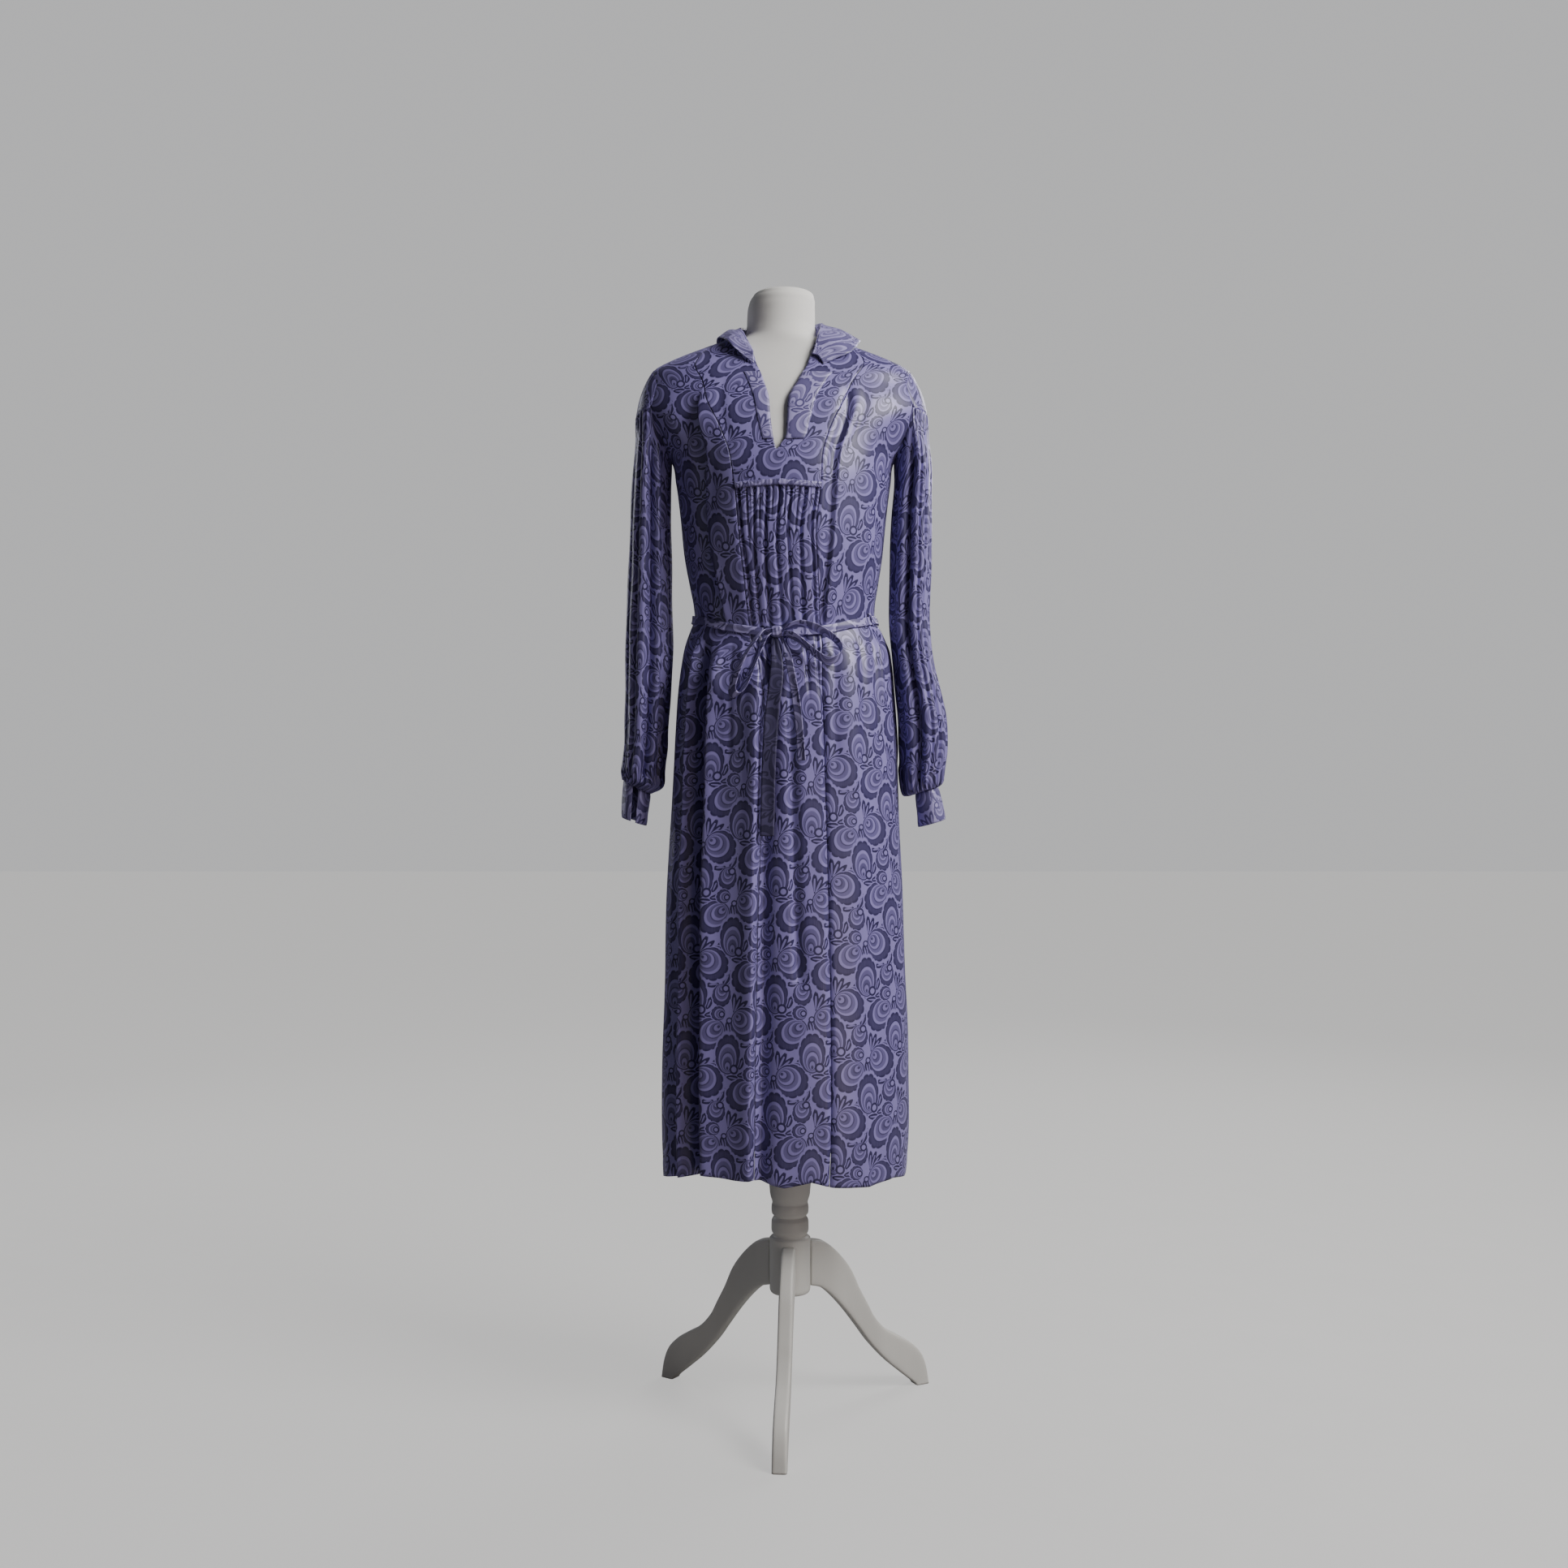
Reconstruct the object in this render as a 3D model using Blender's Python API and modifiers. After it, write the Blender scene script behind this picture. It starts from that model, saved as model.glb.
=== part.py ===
# A smock dress in patterned satin, worn by a limbless dress form on a turned stand.
# Metres, +Z up, front towards -Y. The origin is on the floor under the middle of the whole.
# Left and right are as seen from the front, so right is +X. Angles round the body are in
# degrees: 0 in front, 90 at the right, 180 behind.
import math
from collections import namedtuple

import bpy
import numpy as np

WALL = 0.0012            # cloth, with its seam allowance
SEAM = 0.0005            # gap between two pieces at a seam
LAID = 0.0019            # height of a piece that lies on a panel
BAND_LAID = LAID + 0.0002
BAND_HALF = 0.0042       # half the width of the band over the gathers
NECK_BAND_WIDTHS = (0.009, 0.016)
CUFF_WALL = 0.0016
FORM_AXIS = (-0.0008, 0.0461)

HEM = 0.335
WAIST = 1.113
BAND = 1.2845
UNDERARM = 1.335
SHOULDER_TIP = 1.466
NECKLINE = 1.509
WAIST_DIP = 0.026        # the belt hangs this much lower in front
BAND_PEAK = 0.0035
BELT_HEIGHT = 0.011
WAIST_DEPTH = 0.094      # the waist's depth in front
BELT_OUT = 0.0030        # the belt's outer side from the unfolded waist

ARMHOLE_MIDDLE = 0.5 * (UNDERARM + SHOULDER_TIP)
ARMHOLE_HALF = 0.5 * (SHOULDER_TIP - UNDERARM)
ARMHOLE_FRONT = 0.050
ARMHOLE_BACK = 0.046

SATIN = (0.24, 0.22, 0.42)
SATIN_EDGE = (0.20, 0.18, 0.38)
JERSEY = (0.80, 0.78, 0.74)
PAINTED_WOOD = (0.78, 0.76, 0.70)
STEEL = (0.55, 0.55, 0.56)
SATIN_ROUGHNESS = 0.35

# The garment's outside, one level section to a row. Columns: height, half width,
# middle in x, depth in front, depth behind, and the exponent of the rounded outline.
BODY = (
    (0.325, 0.1700, 0.0005, 0.122, 0.118, 2.15),
    (0.383, 0.1732, 0.0015, 0.124, 0.120, 2.15),
    (0.498, 0.1736, 0.0020, 0.124, 0.122, 2.15),
    (0.613, 0.1702, 0.0022, 0.122, 0.122, 2.15),
    (0.728, 0.1668, 0.0012, 0.120, 0.121, 2.15),
    (0.843, 0.1606, 0.0015, 0.118, 0.120, 2.15),
    (0.958, 0.1558, 0.0018, 0.116, 0.119, 2.15),
    (1.015, 0.1518, 0.0022, 0.113, 0.116, 2.15),
    (1.050, 0.1480, 0.0030, 0.108, 0.110, 2.15),
    (1.078, 0.1425, 0.0030, 0.102, 0.102, 2.15),
    (1.100, 0.1335, 0.0020, 0.097, 0.095, 2.15),
    (1.113, 0.1275, 0.0010, 0.094, 0.091, 2.15),
    (1.128, 0.1275, 0.0005, 0.097, 0.092, 2.15),
    (1.160, 0.1325, 0.0000, 0.106, 0.097, 2.15),
    (1.195, 0.1385, -0.0005, 0.113, 0.101, 2.15),
    (1.255, 0.1450, -0.0008, 0.119, 0.104, 2.15),
    (1.305, 0.1515, -0.0010, 0.120, 0.105, 2.15),
    (1.335, 0.1570, -0.0015, 0.116, 0.103, 2.20),
    (1.360, 0.1760, -0.0020, 0.110, 0.100, 2.20),
    (1.404, 0.2040, -0.0030, 0.097, 0.092, 2.20),
    (1.435, 0.1960, -0.0035, 0.082, 0.080, 2.20),
    (1.466, 0.1790, -0.0040, 0.066, 0.062, 2.20),
    (1.480, 0.1520, -0.0045, 0.058, 0.056, 2.10),
    (1.496, 0.1100, -0.0045, 0.053, 0.053, 2.00),
    (1.512, 0.0610, -0.0045, 0.051, 0.052, 2.00),
)

# The hem's height above or below HEM. Columns: angle, rise.
HEM_WAVE = (
    (-180, 0.000), (-150, 0.004), (-120, -0.003), (-86, -0.005), (-52, 0.010), (-39, 0.018),
    (-22, 0.014), (-13, 0.015), (-4, 0.008), (0, 0.005), (11, 0.012), (20, 0.004), (29, 0.002),
    (41, 0.000), (52, 0.003), (60, 0.005), (76, 0.000), (120, 0.004), (150, -0.003), (180, 0.000),
)

# Seams down the front. Columns: height, angle of the left seam, angle of the right seam.
FRONT_SEAMS = (
    (0.320, -12.5, 19.5), (0.605, -11.9, 19.4), (0.845, -10.3, 19.0), (0.954, -9.8, 18.3),
    (1.009, -10.4, 17.9), (1.064, -14.6, 17.8), (1.121, -21.0, 21.0), (1.174, -22.8, 18.5),
    (1.228, -24.0, 16.4), (1.284, -25.0, 18.4), (1.320, -25.8, 18.2), (1.400, -27.5, 22.0),
    (1.450, -35.0, 32.0), (1.480, -46.0, 45.0), (1.512, -76.0, 76.0),
)

# Edges of the V slit. Columns: height, angle of the left edge, angle of the right edge.
SLIT_POINT = 1.332
SLIT = (
    (1.332, -2.5, -2.1), (1.348, -3.3, 0.6), (1.372, -3.7, 1.3), (1.415, -4.2, 2.5),
    (1.432, -5.6, 4.9), (1.452, -7.6, 8.0), (1.476, -12.4, 13.6), (1.490, -19.0, 21.0),
    (1.500, -31.0, 32.0), (1.512, -58.0, 58.0),
)

# Folds: height and angle at the upper and lower end, spread to the left and to the right in
# degrees, and how far the cloth stands out (or, with a minus, in).
Fold = namedtuple("Fold", "top top_angle low low_angle left right rise")
FOLDS = (
    Fold(1.43, -37, 1.13, -47, 9.0, 6.0, -0.0070),
    Fold(1.43, -29, 1.12, -40, 5.0, 6.0, 0.0020),
    Fold(1.44, 25, 1.11, 23, 2.6, 5.0, -0.0045),
    Fold(1.36, 44, 1.15, 55, 10.0, 12.0, 0.0025),
    Fold(1.09, -38, 0.99, -35, 2.5, 2.5, 0.0040),
    Fold(1.09, -49, 0.20, -43, 4.2, 3.2, -0.0190),
    Fold(1.09, -56, 0.20, -52, 3.4, 2.8, 0.0080),
    Fold(1.08, -65, 0.20, -64, 4.0, 4.5, -0.0090),
    Fold(1.06, -37, 0.20, -37, 2.5, 6.0, 0.0050),
    Fold(1.04, -12.2, 0.20, -14.6, 6.0, 1.9, 0.0060),
    Fold(1.05, -7.0, 0.20, -9.4, 2.0, 4.0, -0.0085),
    Fold(1.03, 1.6, 0.60, 5.0, 2.2, 2.2, -0.0050),
    Fold(1.05, 17.8, 0.20, 19.5, 1.2, 1.6, -0.0025),
    Fold(1.11, 73, 0.98, 68, 4.0, 4.0, -0.0050),
    Fold(1.10, 34, 0.60, 33, 7.0, 8.0, 0.0030),
    Fold(0.90, 50, 0.20, 47, 6.0, 6.0, -0.0030),
    Fold(1.09, 112, 0.20, 110, 5.0, 6.0, -0.0110),
    Fold(1.08, 127, 0.20, 129, 6.0, 4.0, 0.0070),
    Fold(1.09, 143, 0.20, 146, 4.0, 6.0, -0.0140),
    Fold(1.08, 160, 0.20, 162, 7.0, 4.0, 0.0060),
    Fold(1.09, 172, 0.30, 176, 4.0, 5.0, -0.0100),
    Fold(1.09, -166, 0.20, -163, 5.0, 4.0, -0.0080),
    Fold(1.09, -150, 0.20, -147, 4.0, 6.0, 0.0060),
    Fold(1.09, -136, 0.20, -132, 4.0, 5.0, -0.0150),
    Fold(1.09, -117, 0.20, -118, 6.0, 5.0, 0.0050),
    Fold(1.09, -102, 0.20, -103, 5.0, 4.0, -0.0090),
    Fold(1.24, 150, 1.12, 148, 5.0, 6.0, -0.0050),
    Fold(1.26, -158, 1.12, -160, 6.0, 5.0, -0.0060),
    Fold(1.22, -122, 1.12, -126, 6.0, 6.0, -0.0045),
)
FOLD_FADE = 0.035        # length over which a fold starts and ends
WAIST_HOLD = 0.7         # share of each fold that the belt presses flat

# Gathers under the band: place across the panel at the band and at the belt (0 to 1), depth.
Gather = namedtuple("Gather", "top low depth")
GATHERS = (
    Gather(0.045, 0.060, 0.0060), Gather(0.150, 0.115, 0.0025), Gather(0.247, 0.170, 0.0035),
    Gather(0.320, 0.225, 0.0040), Gather(0.400, 0.315, 0.0055), Gather(0.470, 0.390, 0.0030),
    Gather(0.544, 0.470, 0.0050), Gather(0.600, 0.535, 0.0030), Gather(0.656, 0.595, 0.0045),
    Gather(0.745, 0.670, 0.0030), Gather(0.825, 0.740, 0.0050), Gather(0.955, 0.930, 0.0055),
)
GATHERS_END = 0.99       # height where the gathers have run out

# Heights of the rows of the panels.
SKIRT_ROWS = (HEM, 0.42, 0.56, 0.72, 0.88, 0.98, 1.035, 1.070, 1.096, WAIST)
BODICE_ROWS = (1.132, 1.170, 1.212, 1.255, BAND)
CHEST_ROWS = (1.310, UNDERARM, 1.347, 1.366, 1.392, 1.421, 1.446, 1.460, SHOULDER_TIP)
NECK_ROWS = (1.476, 1.488, 1.499, NECKLINE)

# Sleeves: height, x of the outer side, x of the inner side, half depth. The left one is
# mirrored, so its x values are positive too.
RIGHT_SLEEVE = (
    (1.372, 0.2080, 0.1620, 0.0520), (1.330, 0.2095, 0.1600, 0.0520),
    (1.290, 0.2095, 0.1545, 0.0500), (1.190, 0.2092, 0.1500, 0.0470),
    (1.100, 0.2070, 0.1495, 0.0450), (1.060, 0.2115, 0.1530, 0.0450),
    (1.015, 0.2220, 0.1575, 0.0460), (0.967, 0.2310, 0.1610, 0.0480),
    (0.930, 0.2315, 0.1625, 0.0480), (0.898, 0.2265, 0.1630, 0.0460),
)
LEFT_SLEEVE = (
    (1.372, 0.2108, 0.1630, 0.0520), (1.330, 0.2128, 0.1620, 0.0520),
    (1.280, 0.2160, 0.1600, 0.0500), (1.190, 0.2195, 0.1585, 0.0480),
    (1.100, 0.2235, 0.1570, 0.0460), (1.060, 0.2245, 0.1570, 0.0460),
    (1.000, 0.2250, 0.1610, 0.0460), (0.950, 0.2260, 0.1640, 0.0460),
    (0.923, 0.2280, 0.1660, 0.0450), (0.900, 0.2300, 0.1690, 0.0440),
)
# Pleats round a sleeve: angle from the outer side towards the front, spread, depth.
Pleat = namedtuple("Pleat", "angle spread depth")
RIGHT_PLEATS = (
    Pleat(24, 7, 0.0030), Pleat(54, 7, 0.0045), Pleat(80, 8, 0.0070), Pleat(112, 10, 0.0100),
    Pleat(150, 9, 0.0040), Pleat(-152, 9, 0.0040), Pleat(-112, 9, 0.0060),
    Pleat(-72, 8, 0.0060), Pleat(-32, 8, 0.0035),
)
LEFT_PLEATS = (
    Pleat(28, 8, 0.0035), Pleat(62, 8, 0.0045), Pleat(96, 9, 0.0090), Pleat(128, 9, 0.0040),
    Pleat(158, 7, 0.0030), Pleat(-150, 9, 0.0040), Pleat(-112, 9, 0.0060),
    Pleat(-72, 8, 0.0060), Pleat(-32, 8, 0.0035),
)
SLEEVE_ANGLES = (
    0, 12, 26, 40, 56, 68, 82, 96, 112, 130, 150, 168, 188, 208, 228, 248, 268, 288, 308, 328, 346,
)
GATHER_SEAM = 1.403
CAP_REACH = 0.0245       # how far the gather seam stands out from the armhole
CAP_CORNER = 87          # angle round the armhole where the gather seam ends
CAP_SWELL = 0.0045
GATHER_RISE = 0.004      # how much lower the gather seam runs over the arm than at its corners
ARMHOLE_GAP = 0.0008

# Lower ends of the sleeves and their cuffs: x of the middle, half width, half depth, height of
# the middle and tilt (the outer side is higher by this).
Ring = namedtuple("Ring", "x half_width half_depth height tilt")
RIGHT_BLOUSE = Ring(0.1935, 0.0300, 0.0400, 0.873, 0.008)
RIGHT_CUFF_TOP = Ring(0.2023, 0.0166, 0.0290, 0.874, 0.0046)
RIGHT_CUFF_END = Ring(0.2092, 0.0198, 0.0310, 0.8268, 0.0057)
LEFT_BLOUSE = Ring(0.2000, 0.0280, 0.0380, 0.884, 0.006)
LEFT_CUFF_TOP = Ring(0.2080, 0.0195, 0.0290, 0.8780, 0.0100)
LEFT_CUFF_END = Ring(0.2120, 0.0180, 0.0300, 0.8290, 0.0060)
LEFT_CUFF_OPEN = (80, 104)   # angles between which the left cuff hangs open

# The collar, from its right end, round the back, to its left end.
# Columns: fold x, y, z, then outer edge x, y, z, all from the form's axis.
Station = namedtuple("Station", "fx fy fz ex ey ez")
COLLAR = (
    Station(0.0400, -0.0640, 1.4740, 0.0540, -0.0680, 1.4585),
    Station(0.0450, -0.0555, 1.4900, 0.0720, -0.0640, 1.4680),
    Station(0.0490, -0.0420, 1.5090, 0.0930, -0.0560, 1.4790),
    Station(0.0530, -0.0140, 1.5270, 0.1080, -0.0060, 1.5070),
    Station(0.0520, 0.0120, 1.5350, 0.0980, 0.0330, 1.5060),
    Station(0.0420, 0.0370, 1.5390, 0.0720, 0.0600, 1.4985),
    Station(0.0220, 0.0530, 1.5400, 0.0360, 0.0730, 1.4900),
    Station(-0.0045, 0.0580, 1.5400, -0.0050, 0.0770, 1.4880),
    Station(-0.0300, 0.0520, 1.5380, -0.0450, 0.0730, 1.4890),
    Station(-0.0500, 0.0360, 1.5340, -0.0760, 0.0580, 1.4960),
    Station(-0.0600, 0.0120, 1.5290, -0.0940, 0.0290, 1.5060),
    Station(-0.0620, -0.0100, 1.5230, -0.0930, -0.0060, 1.5115),
    Station(-0.0580, -0.0330, 1.5130, -0.0790, -0.0510, 1.4960),
    Station(-0.0520, -0.0490, 1.4980, -0.0620, -0.0640, 1.4760),
    Station(-0.0430, -0.0630, 1.4780, -0.0410, -0.0700, 1.4590),
)
COLLAR_STAND = 0.0055    # the fall's inner side from the stand
COLLAR_SHARE = 0.3       # of that stand, what is left at the two points
COLLAR_SEAM = 0.0023     # height of the neck seam above the neckline
COLLAR_BACK = 0.0026     # how far behind the fold the stand ends at the two points
COLLAR_CROWN = 0.004     # how far the fall rises over a straight line
COLLAR_SAG = 0.0015      # how far the fall's inner side lies under the fold

# The bow and the tails, as routes of the ribbon's middle that start at the knot:
# x, distance in front of the dress's level section, z.
LOOP_RIGHT = (
    (-0.0009, 0.0047, 1.0917), (0.006, 0.013, 1.0945), (0.020, 0.016, 1.0985), (0.036, 0.016, 1.0960),
    (0.052, 0.016, 1.0890), (0.067, 0.015, 1.0800), (0.077, 0.015, 1.0680), (0.078, 0.015, 1.0585), (0.070, 0.014, 1.0500),
    (0.057, 0.013, 1.0485), (0.044, 0.012, 1.0560), (0.030, 0.011, 1.0680), (0.016, 0.012, 1.0790),
    (0.005, 0.011, 1.0845), (-0.0008, 0.0042, 1.0860),
)
LOOP_LEFT = (
    (-0.0195, 0.0038, 1.0895), (-0.031, 0.012, 1.0860), (-0.044, 0.014, 1.0680),
    (-0.058, 0.013, 1.0450), (-0.068, 0.011, 1.0180), (-0.069, 0.009, 1.0060),
    (-0.064, 0.007, 1.0020), (-0.056, 0.007, 1.0100), (-0.046, 0.007, 1.0330),
    (-0.035, 0.007, 1.0600), (-0.027, 0.008, 1.0780), (-0.0197, 0.0026, 1.0850),
)
TAIL_LIGHT = (
    (-0.0035, 0.0002, 1.0802), (0.0035, 0.008, 1.0620), (0.0080, 0.008, 1.0400),
    (0.0140, 0.007, 1.0080), (0.0185, 0.007, 0.9750), (0.0215, 0.007, 0.9450),
    (0.0235, 0.007, 0.9140),
)
TAIL_DARK = (
    (-0.0135, 0.0000, 1.0796), (-0.0100, 0.006, 1.0500), (-0.0110, 0.006, 1.0200),
    (-0.0160, 0.006, 0.9800), (-0.0190, 0.006, 0.9400), (-0.0210, 0.006, 0.8950),
    (-0.0220, 0.006, 0.8500), (-0.0230, 0.006, 0.8120),
)
KNOT_SIZE = (0.017, 0.012, 0.016)
KNOT_MIDDLE = (-0.0100, 1.0885)
KNOT_OUT = 0.0008        # how far its back stands off the waist
KNOT_CAGE = 1.25         # the cage's size from the rounded knot's

# The form under the dress. Columns as in BODY.
FORM = (
    (0.800, 0.0900, 0.0060, 0.070, 0.070, 2.0),
    (0.815, 0.1060, 0.0050, 0.082, 0.082, 2.1),
    (0.870, 0.1180, 0.0030, 0.092, 0.094, 2.2),
    (0.960, 0.1230, 0.0020, 0.092, 0.096, 2.2),
    (1.040, 0.1160, 0.0015, 0.084, 0.086, 2.2),
    (1.110, 0.1030, 0.0010, 0.076, 0.076, 2.2),
    (1.180, 0.1130, 0.0000, 0.090, 0.084, 2.2),
    (1.250, 0.1260, -0.0008, 0.106, 0.092, 2.2),
    (1.305, 0.1370, -0.0010, 0.114, 0.097, 2.2),
    (1.345, 0.1440, -0.0015, 0.1100, 0.097, 2.2),
    (1.375, 0.1510, -0.0022, 0.1020, 0.093, 2.2),
    (1.404, 0.1600, -0.0030, 0.0925, 0.087, 2.2),
    (1.434, 0.1660, -0.0035, 0.0775, 0.0755, 2.2),
    (1.4615, 0.1700, -0.0040, 0.0615, 0.0575, 2.2),
    (1.4778, 0.1520, -0.0045, 0.0540, 0.0520, 2.1),
    (1.4938, 0.1095, -0.0045, 0.0490, 0.0490, 2.0),
    (1.5080, 0.0580, -0.0045, 0.0475, 0.0470, 2.0),
    (1.5220, 0.0495, -0.0045, 0.0455, 0.0460, 2.0),
    (1.5400, 0.0480, -0.0042, 0.0450, 0.0460, 2.0),
    (1.5560, 0.0470, -0.0035, 0.0450, 0.0460, 2.0),
    (1.5680, 0.0440, -0.0015, 0.0430, 0.0440, 2.0),
    (1.5755, 0.0370, 0.0000, 0.0360, 0.0370, 2.0),
    (1.5790, 0.0240, 0.0000, 0.0230, 0.0240, 2.0),
)
FORM_SIDES = 30

# The stand, from the form's axis.
STAND_SHIFT = 0.0085
STAND_TURN = -3.8        # degrees that the feet are turned from facing straight ahead
POLE_RADIUS = 0.0125
COLUMN_TOP = 0.470
POLE_GAP = 0.0003        # between the pole and what it joins
MERGE = 0.00005          # points nearer than this become one
# The turned column: radius, height, from the top down.
COLUMN = (
    (0.0150, 0.470), (0.0240, 0.466), (0.0290, 0.450), (0.0305, 0.400), (0.0300, 0.330),
    (0.0287, 0.308), (0.0258, 0.2935), (0.0262, 0.2830), (0.0258, 0.2755), (0.0227, 0.2717),
    (0.0258, 0.2660), (0.0264, 0.2565), (0.0258, 0.2490), (0.0236, 0.2452), (0.0285, 0.2406),
    (0.0288, 0.2370), (0.0288, 0.1690), (0.0270, 0.1636),
)
LEG_THICKNESS = 0.020
LEG_EDGE = 0.003
# A leg's outline: distance from the stand's axis, height. The first row is the top at the hub.
LEG_TOP = (
    (0.0291, 0.2340), (0.0420, 0.2325), (0.0560, 0.2270), (0.0760, 0.2090), (0.0945, 0.1850),
    (0.1085, 0.1560), (0.1225, 0.1306), (0.1340, 0.1100), (0.1520, 0.0905), (0.1740, 0.0770),
    (0.1940, 0.0640), (0.2110, 0.0470), (0.2200, 0.0260), (0.2245, 0.0000),
)
LEG_UNDER = (
    (0.2030, 0.0000), (0.1990, 0.0050), (0.1790, 0.0215), (0.1530, 0.0440), (0.1270, 0.0720),
    (0.1085, 0.0965), (0.0870, 0.1245), (0.0660, 0.1480), (0.0470, 0.1640), (0.0291, 0.1700),
)


def hermite(table, keys):
    """The table's other columns at the given values of its first column, on a smooth curve."""
    table = np.asarray(table, float)
    knots, values = table[:, 0], table[:, 1:]
    keys = np.asarray(keys, float)
    i = np.clip(np.searchsorted(knots, keys) - 1, 0, len(knots) - 2)
    step = (knots[i + 1] - knots[i])[..., None]
    t = np.clip((keys[..., None] - knots[i][..., None]) / step, 0, 1)
    slopes = np.gradient(values, knots, axis=0)
    return (
        (2 * t**3 - 3 * t**2 + 1) * values[i]
        + (t**3 - 2 * t**2 + t) * step * slopes[i]
        + (3 * t**2 - 2 * t**3) * values[i + 1]
        + (t**3 - t**2) * step * slopes[i + 1]
    )


def linear(table, keys):
    table = np.asarray(table, float)
    return np.interp(keys, table[:, 0], table[:, 1])


def ramp(value, start, end):
    """0 before start, 1 after end, and an even curve between them."""
    t = np.clip((value - start) / (end - start), 0, 1)
    return t * t * (3 - 2 * t)


def power(value, exponent):
    return np.sign(value) * np.abs(value) ** exponent


def ring_point(table, angle, level):
    """x, y of the rounded outline that the table gives at this level, from the form's axis."""
    half, middle, front, behind, exponent = np.moveaxis(hermite(table, level), -1, 0)
    sine, cosine = np.sin(np.radians(angle)), np.cos(np.radians(angle))
    x = middle + half * power(sine, 2 / exponent)
    y = -np.where(cosine > 0, front, behind) * power(cosine, 2 / exponent)
    return x, y


def turned(angle):
    """The angle brought between -180 and 180."""
    return (angle + 180) % 360 - 180


def fold_rise(angle, level):
    """How far the folds move the cloth outwards at this place."""
    rise = np.zeros(np.broadcast(angle, level).shape)
    for fold in FOLDS:
        along = np.clip((fold.top - level) / (fold.top - fold.low), 0, 1)
        middle = fold.top_angle + along * (fold.low_angle - fold.top_angle)
        off = turned(angle - middle)
        spread = np.where(off < 0, fold.left, fold.right)
        ends = ramp(fold.top - level, 0, FOLD_FADE) * ramp(level - fold.low, 0, FOLD_FADE)
        rise = rise + fold.rise * ends * np.exp(-((off / spread) ** 2))
    return rise * (1 - WAIST_HOLD * np.exp(-(((level - WAIST) / 0.022) ** 2)))


def height_of(angle, level):
    """The real height: the hem waves, the belt line dips in front, the band has a low peak."""
    cosine = np.clip(np.cos(np.radians(angle)), 0, 1)
    hem = linear(HEM_WAVE, turned(angle)) * (1 - ramp(level, HEM, 0.48))
    dip = WAIST_DIP * cosine**2.5 * np.exp(-(((level - WAIST) / 0.045) ** 2))
    peak = BAND_PEAK * np.clip(1 - np.abs(angle + 2.5) / 21, 0, 1)
    return level + hem - dip + peak * np.exp(-(((level - BAND) / 0.02) ** 2))


def body_point(angle, level, out=0.0, folded=1.0):
    """Points on the garment's outside, moved out by this much."""
    angle, level = np.broadcast_arrays(np.asarray(angle, float), np.asarray(level, float))
    x, y = ring_point(BODY, angle, level)
    reach = out + folded * fold_rise(angle, level)
    x = x + reach * np.sin(np.radians(angle)) + FORM_AXIS[0]
    y = y - reach * np.cos(np.radians(angle)) + FORM_AXIS[1]
    return np.stack([x, y, height_of(angle, level)], axis=-1)


def armhole_angle(level, side):
    """The angle where a panel ends: the side seam, the armhole's edge or the shoulder seam."""
    depth = ARMHOLE_FRONT if side == "front" else ARMHOLE_BACK
    column = 2 if side == "front" else 3
    across = np.clip(1 - ((level - ARMHOLE_MIDDLE) / ARMHOLE_HALF) ** 2, 0, 1)
    shape = hermite(BODY, level)
    cosine = (depth * np.sqrt(across) / shape[..., column]) ** (shape[..., 4] / 2)
    return np.degrees(np.arccos(np.clip(cosine, 0, 1)))


def gather_rise(across, level):
    """How far the gathers under the band move the centre panel, at 0 to 1 across it."""
    down = ramp(BAND - level, 0, BAND - WAIST)
    amount = ramp(level, GATHERS_END, WAIST - 0.02) * (1 - 0.35 * down)
    rise = np.zeros(np.broadcast(across, level).shape)
    for gather in GATHERS:
        middle = gather.top + (gather.low - gather.top) * down
        rise = rise - gather.depth * np.exp(-(((across - middle) / 0.017) ** 2))
    hold = 1 - 0.5 * np.exp(-(((level - WAIST) / 0.015) ** 2))
    return rise * amount * hold


def material(name, colour, roughness):
    made = bpy.data.materials.new(name)
    made.use_nodes = True
    shader = made.node_tree.nodes["Principled BSDF"]
    shader.inputs["Base Color"].default_value = (*colour, 1)
    shader.inputs["Roughness"].default_value = roughness
    return made


def add_object(name, data, colour, roughness):
    made = bpy.data.objects.new(name, data)
    made.data.materials.append(material(name, colour, roughness))
    bpy.data.collections["smock dress"].objects.link(made)
    return made


def gather_in(made):
    """Moves an object that an operator made into the dress's collection."""
    for collection in list(made.users_collection):
        collection.objects.unlink(made)
    bpy.data.collections["smock dress"].objects.link(made)


def add_sheet(name, points, colour=SATIN, wall=WALL, closed=False):
    """A grid of points as a cloth wall. Columns run to the right and rows run up, seen from
    outside. The wall is on the inner side. A closed grid joins its last column to its first."""
    rows, columns = points.shape[:2]
    corners = np.arange(rows * columns).reshape(rows, columns)
    if closed:
        corners = np.concatenate([corners, corners[:, :1]], axis=1)
    faces = np.stack(
        [corners[:-1, :-1], corners[:-1, 1:], corners[1:, 1:], corners[1:, :-1]], axis=-1
    )
    add_wall(name, points.reshape(-1, 3), faces.reshape(-1, 4), colour, wall)


def add_wall(name, points, faces, colour, wall):
    """Faces with the cloth's thickness on their inner side."""
    mesh = bpy.data.meshes.new(name)
    mesh.from_pydata(points.tolist(), [], faces.tolist())
    mesh.shade_smooth()
    made = add_object(name, mesh, colour, SATIN_ROUGHNESS)
    solidify = made.modifiers.new("wall", "SOLIDIFY")
    solidify.thickness = wall
    solidify.offset = -1


def panel(name, left, right, rows, columns):
    """A panel of the dress between two edges, each an angle for every row."""
    across = np.linspace(0, 1, columns)
    level = np.asarray(rows, float)[:, None]
    angle = left[:, None] + (right - left)[:, None] * across
    add_sheet(name, body_point(angle, level))


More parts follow.
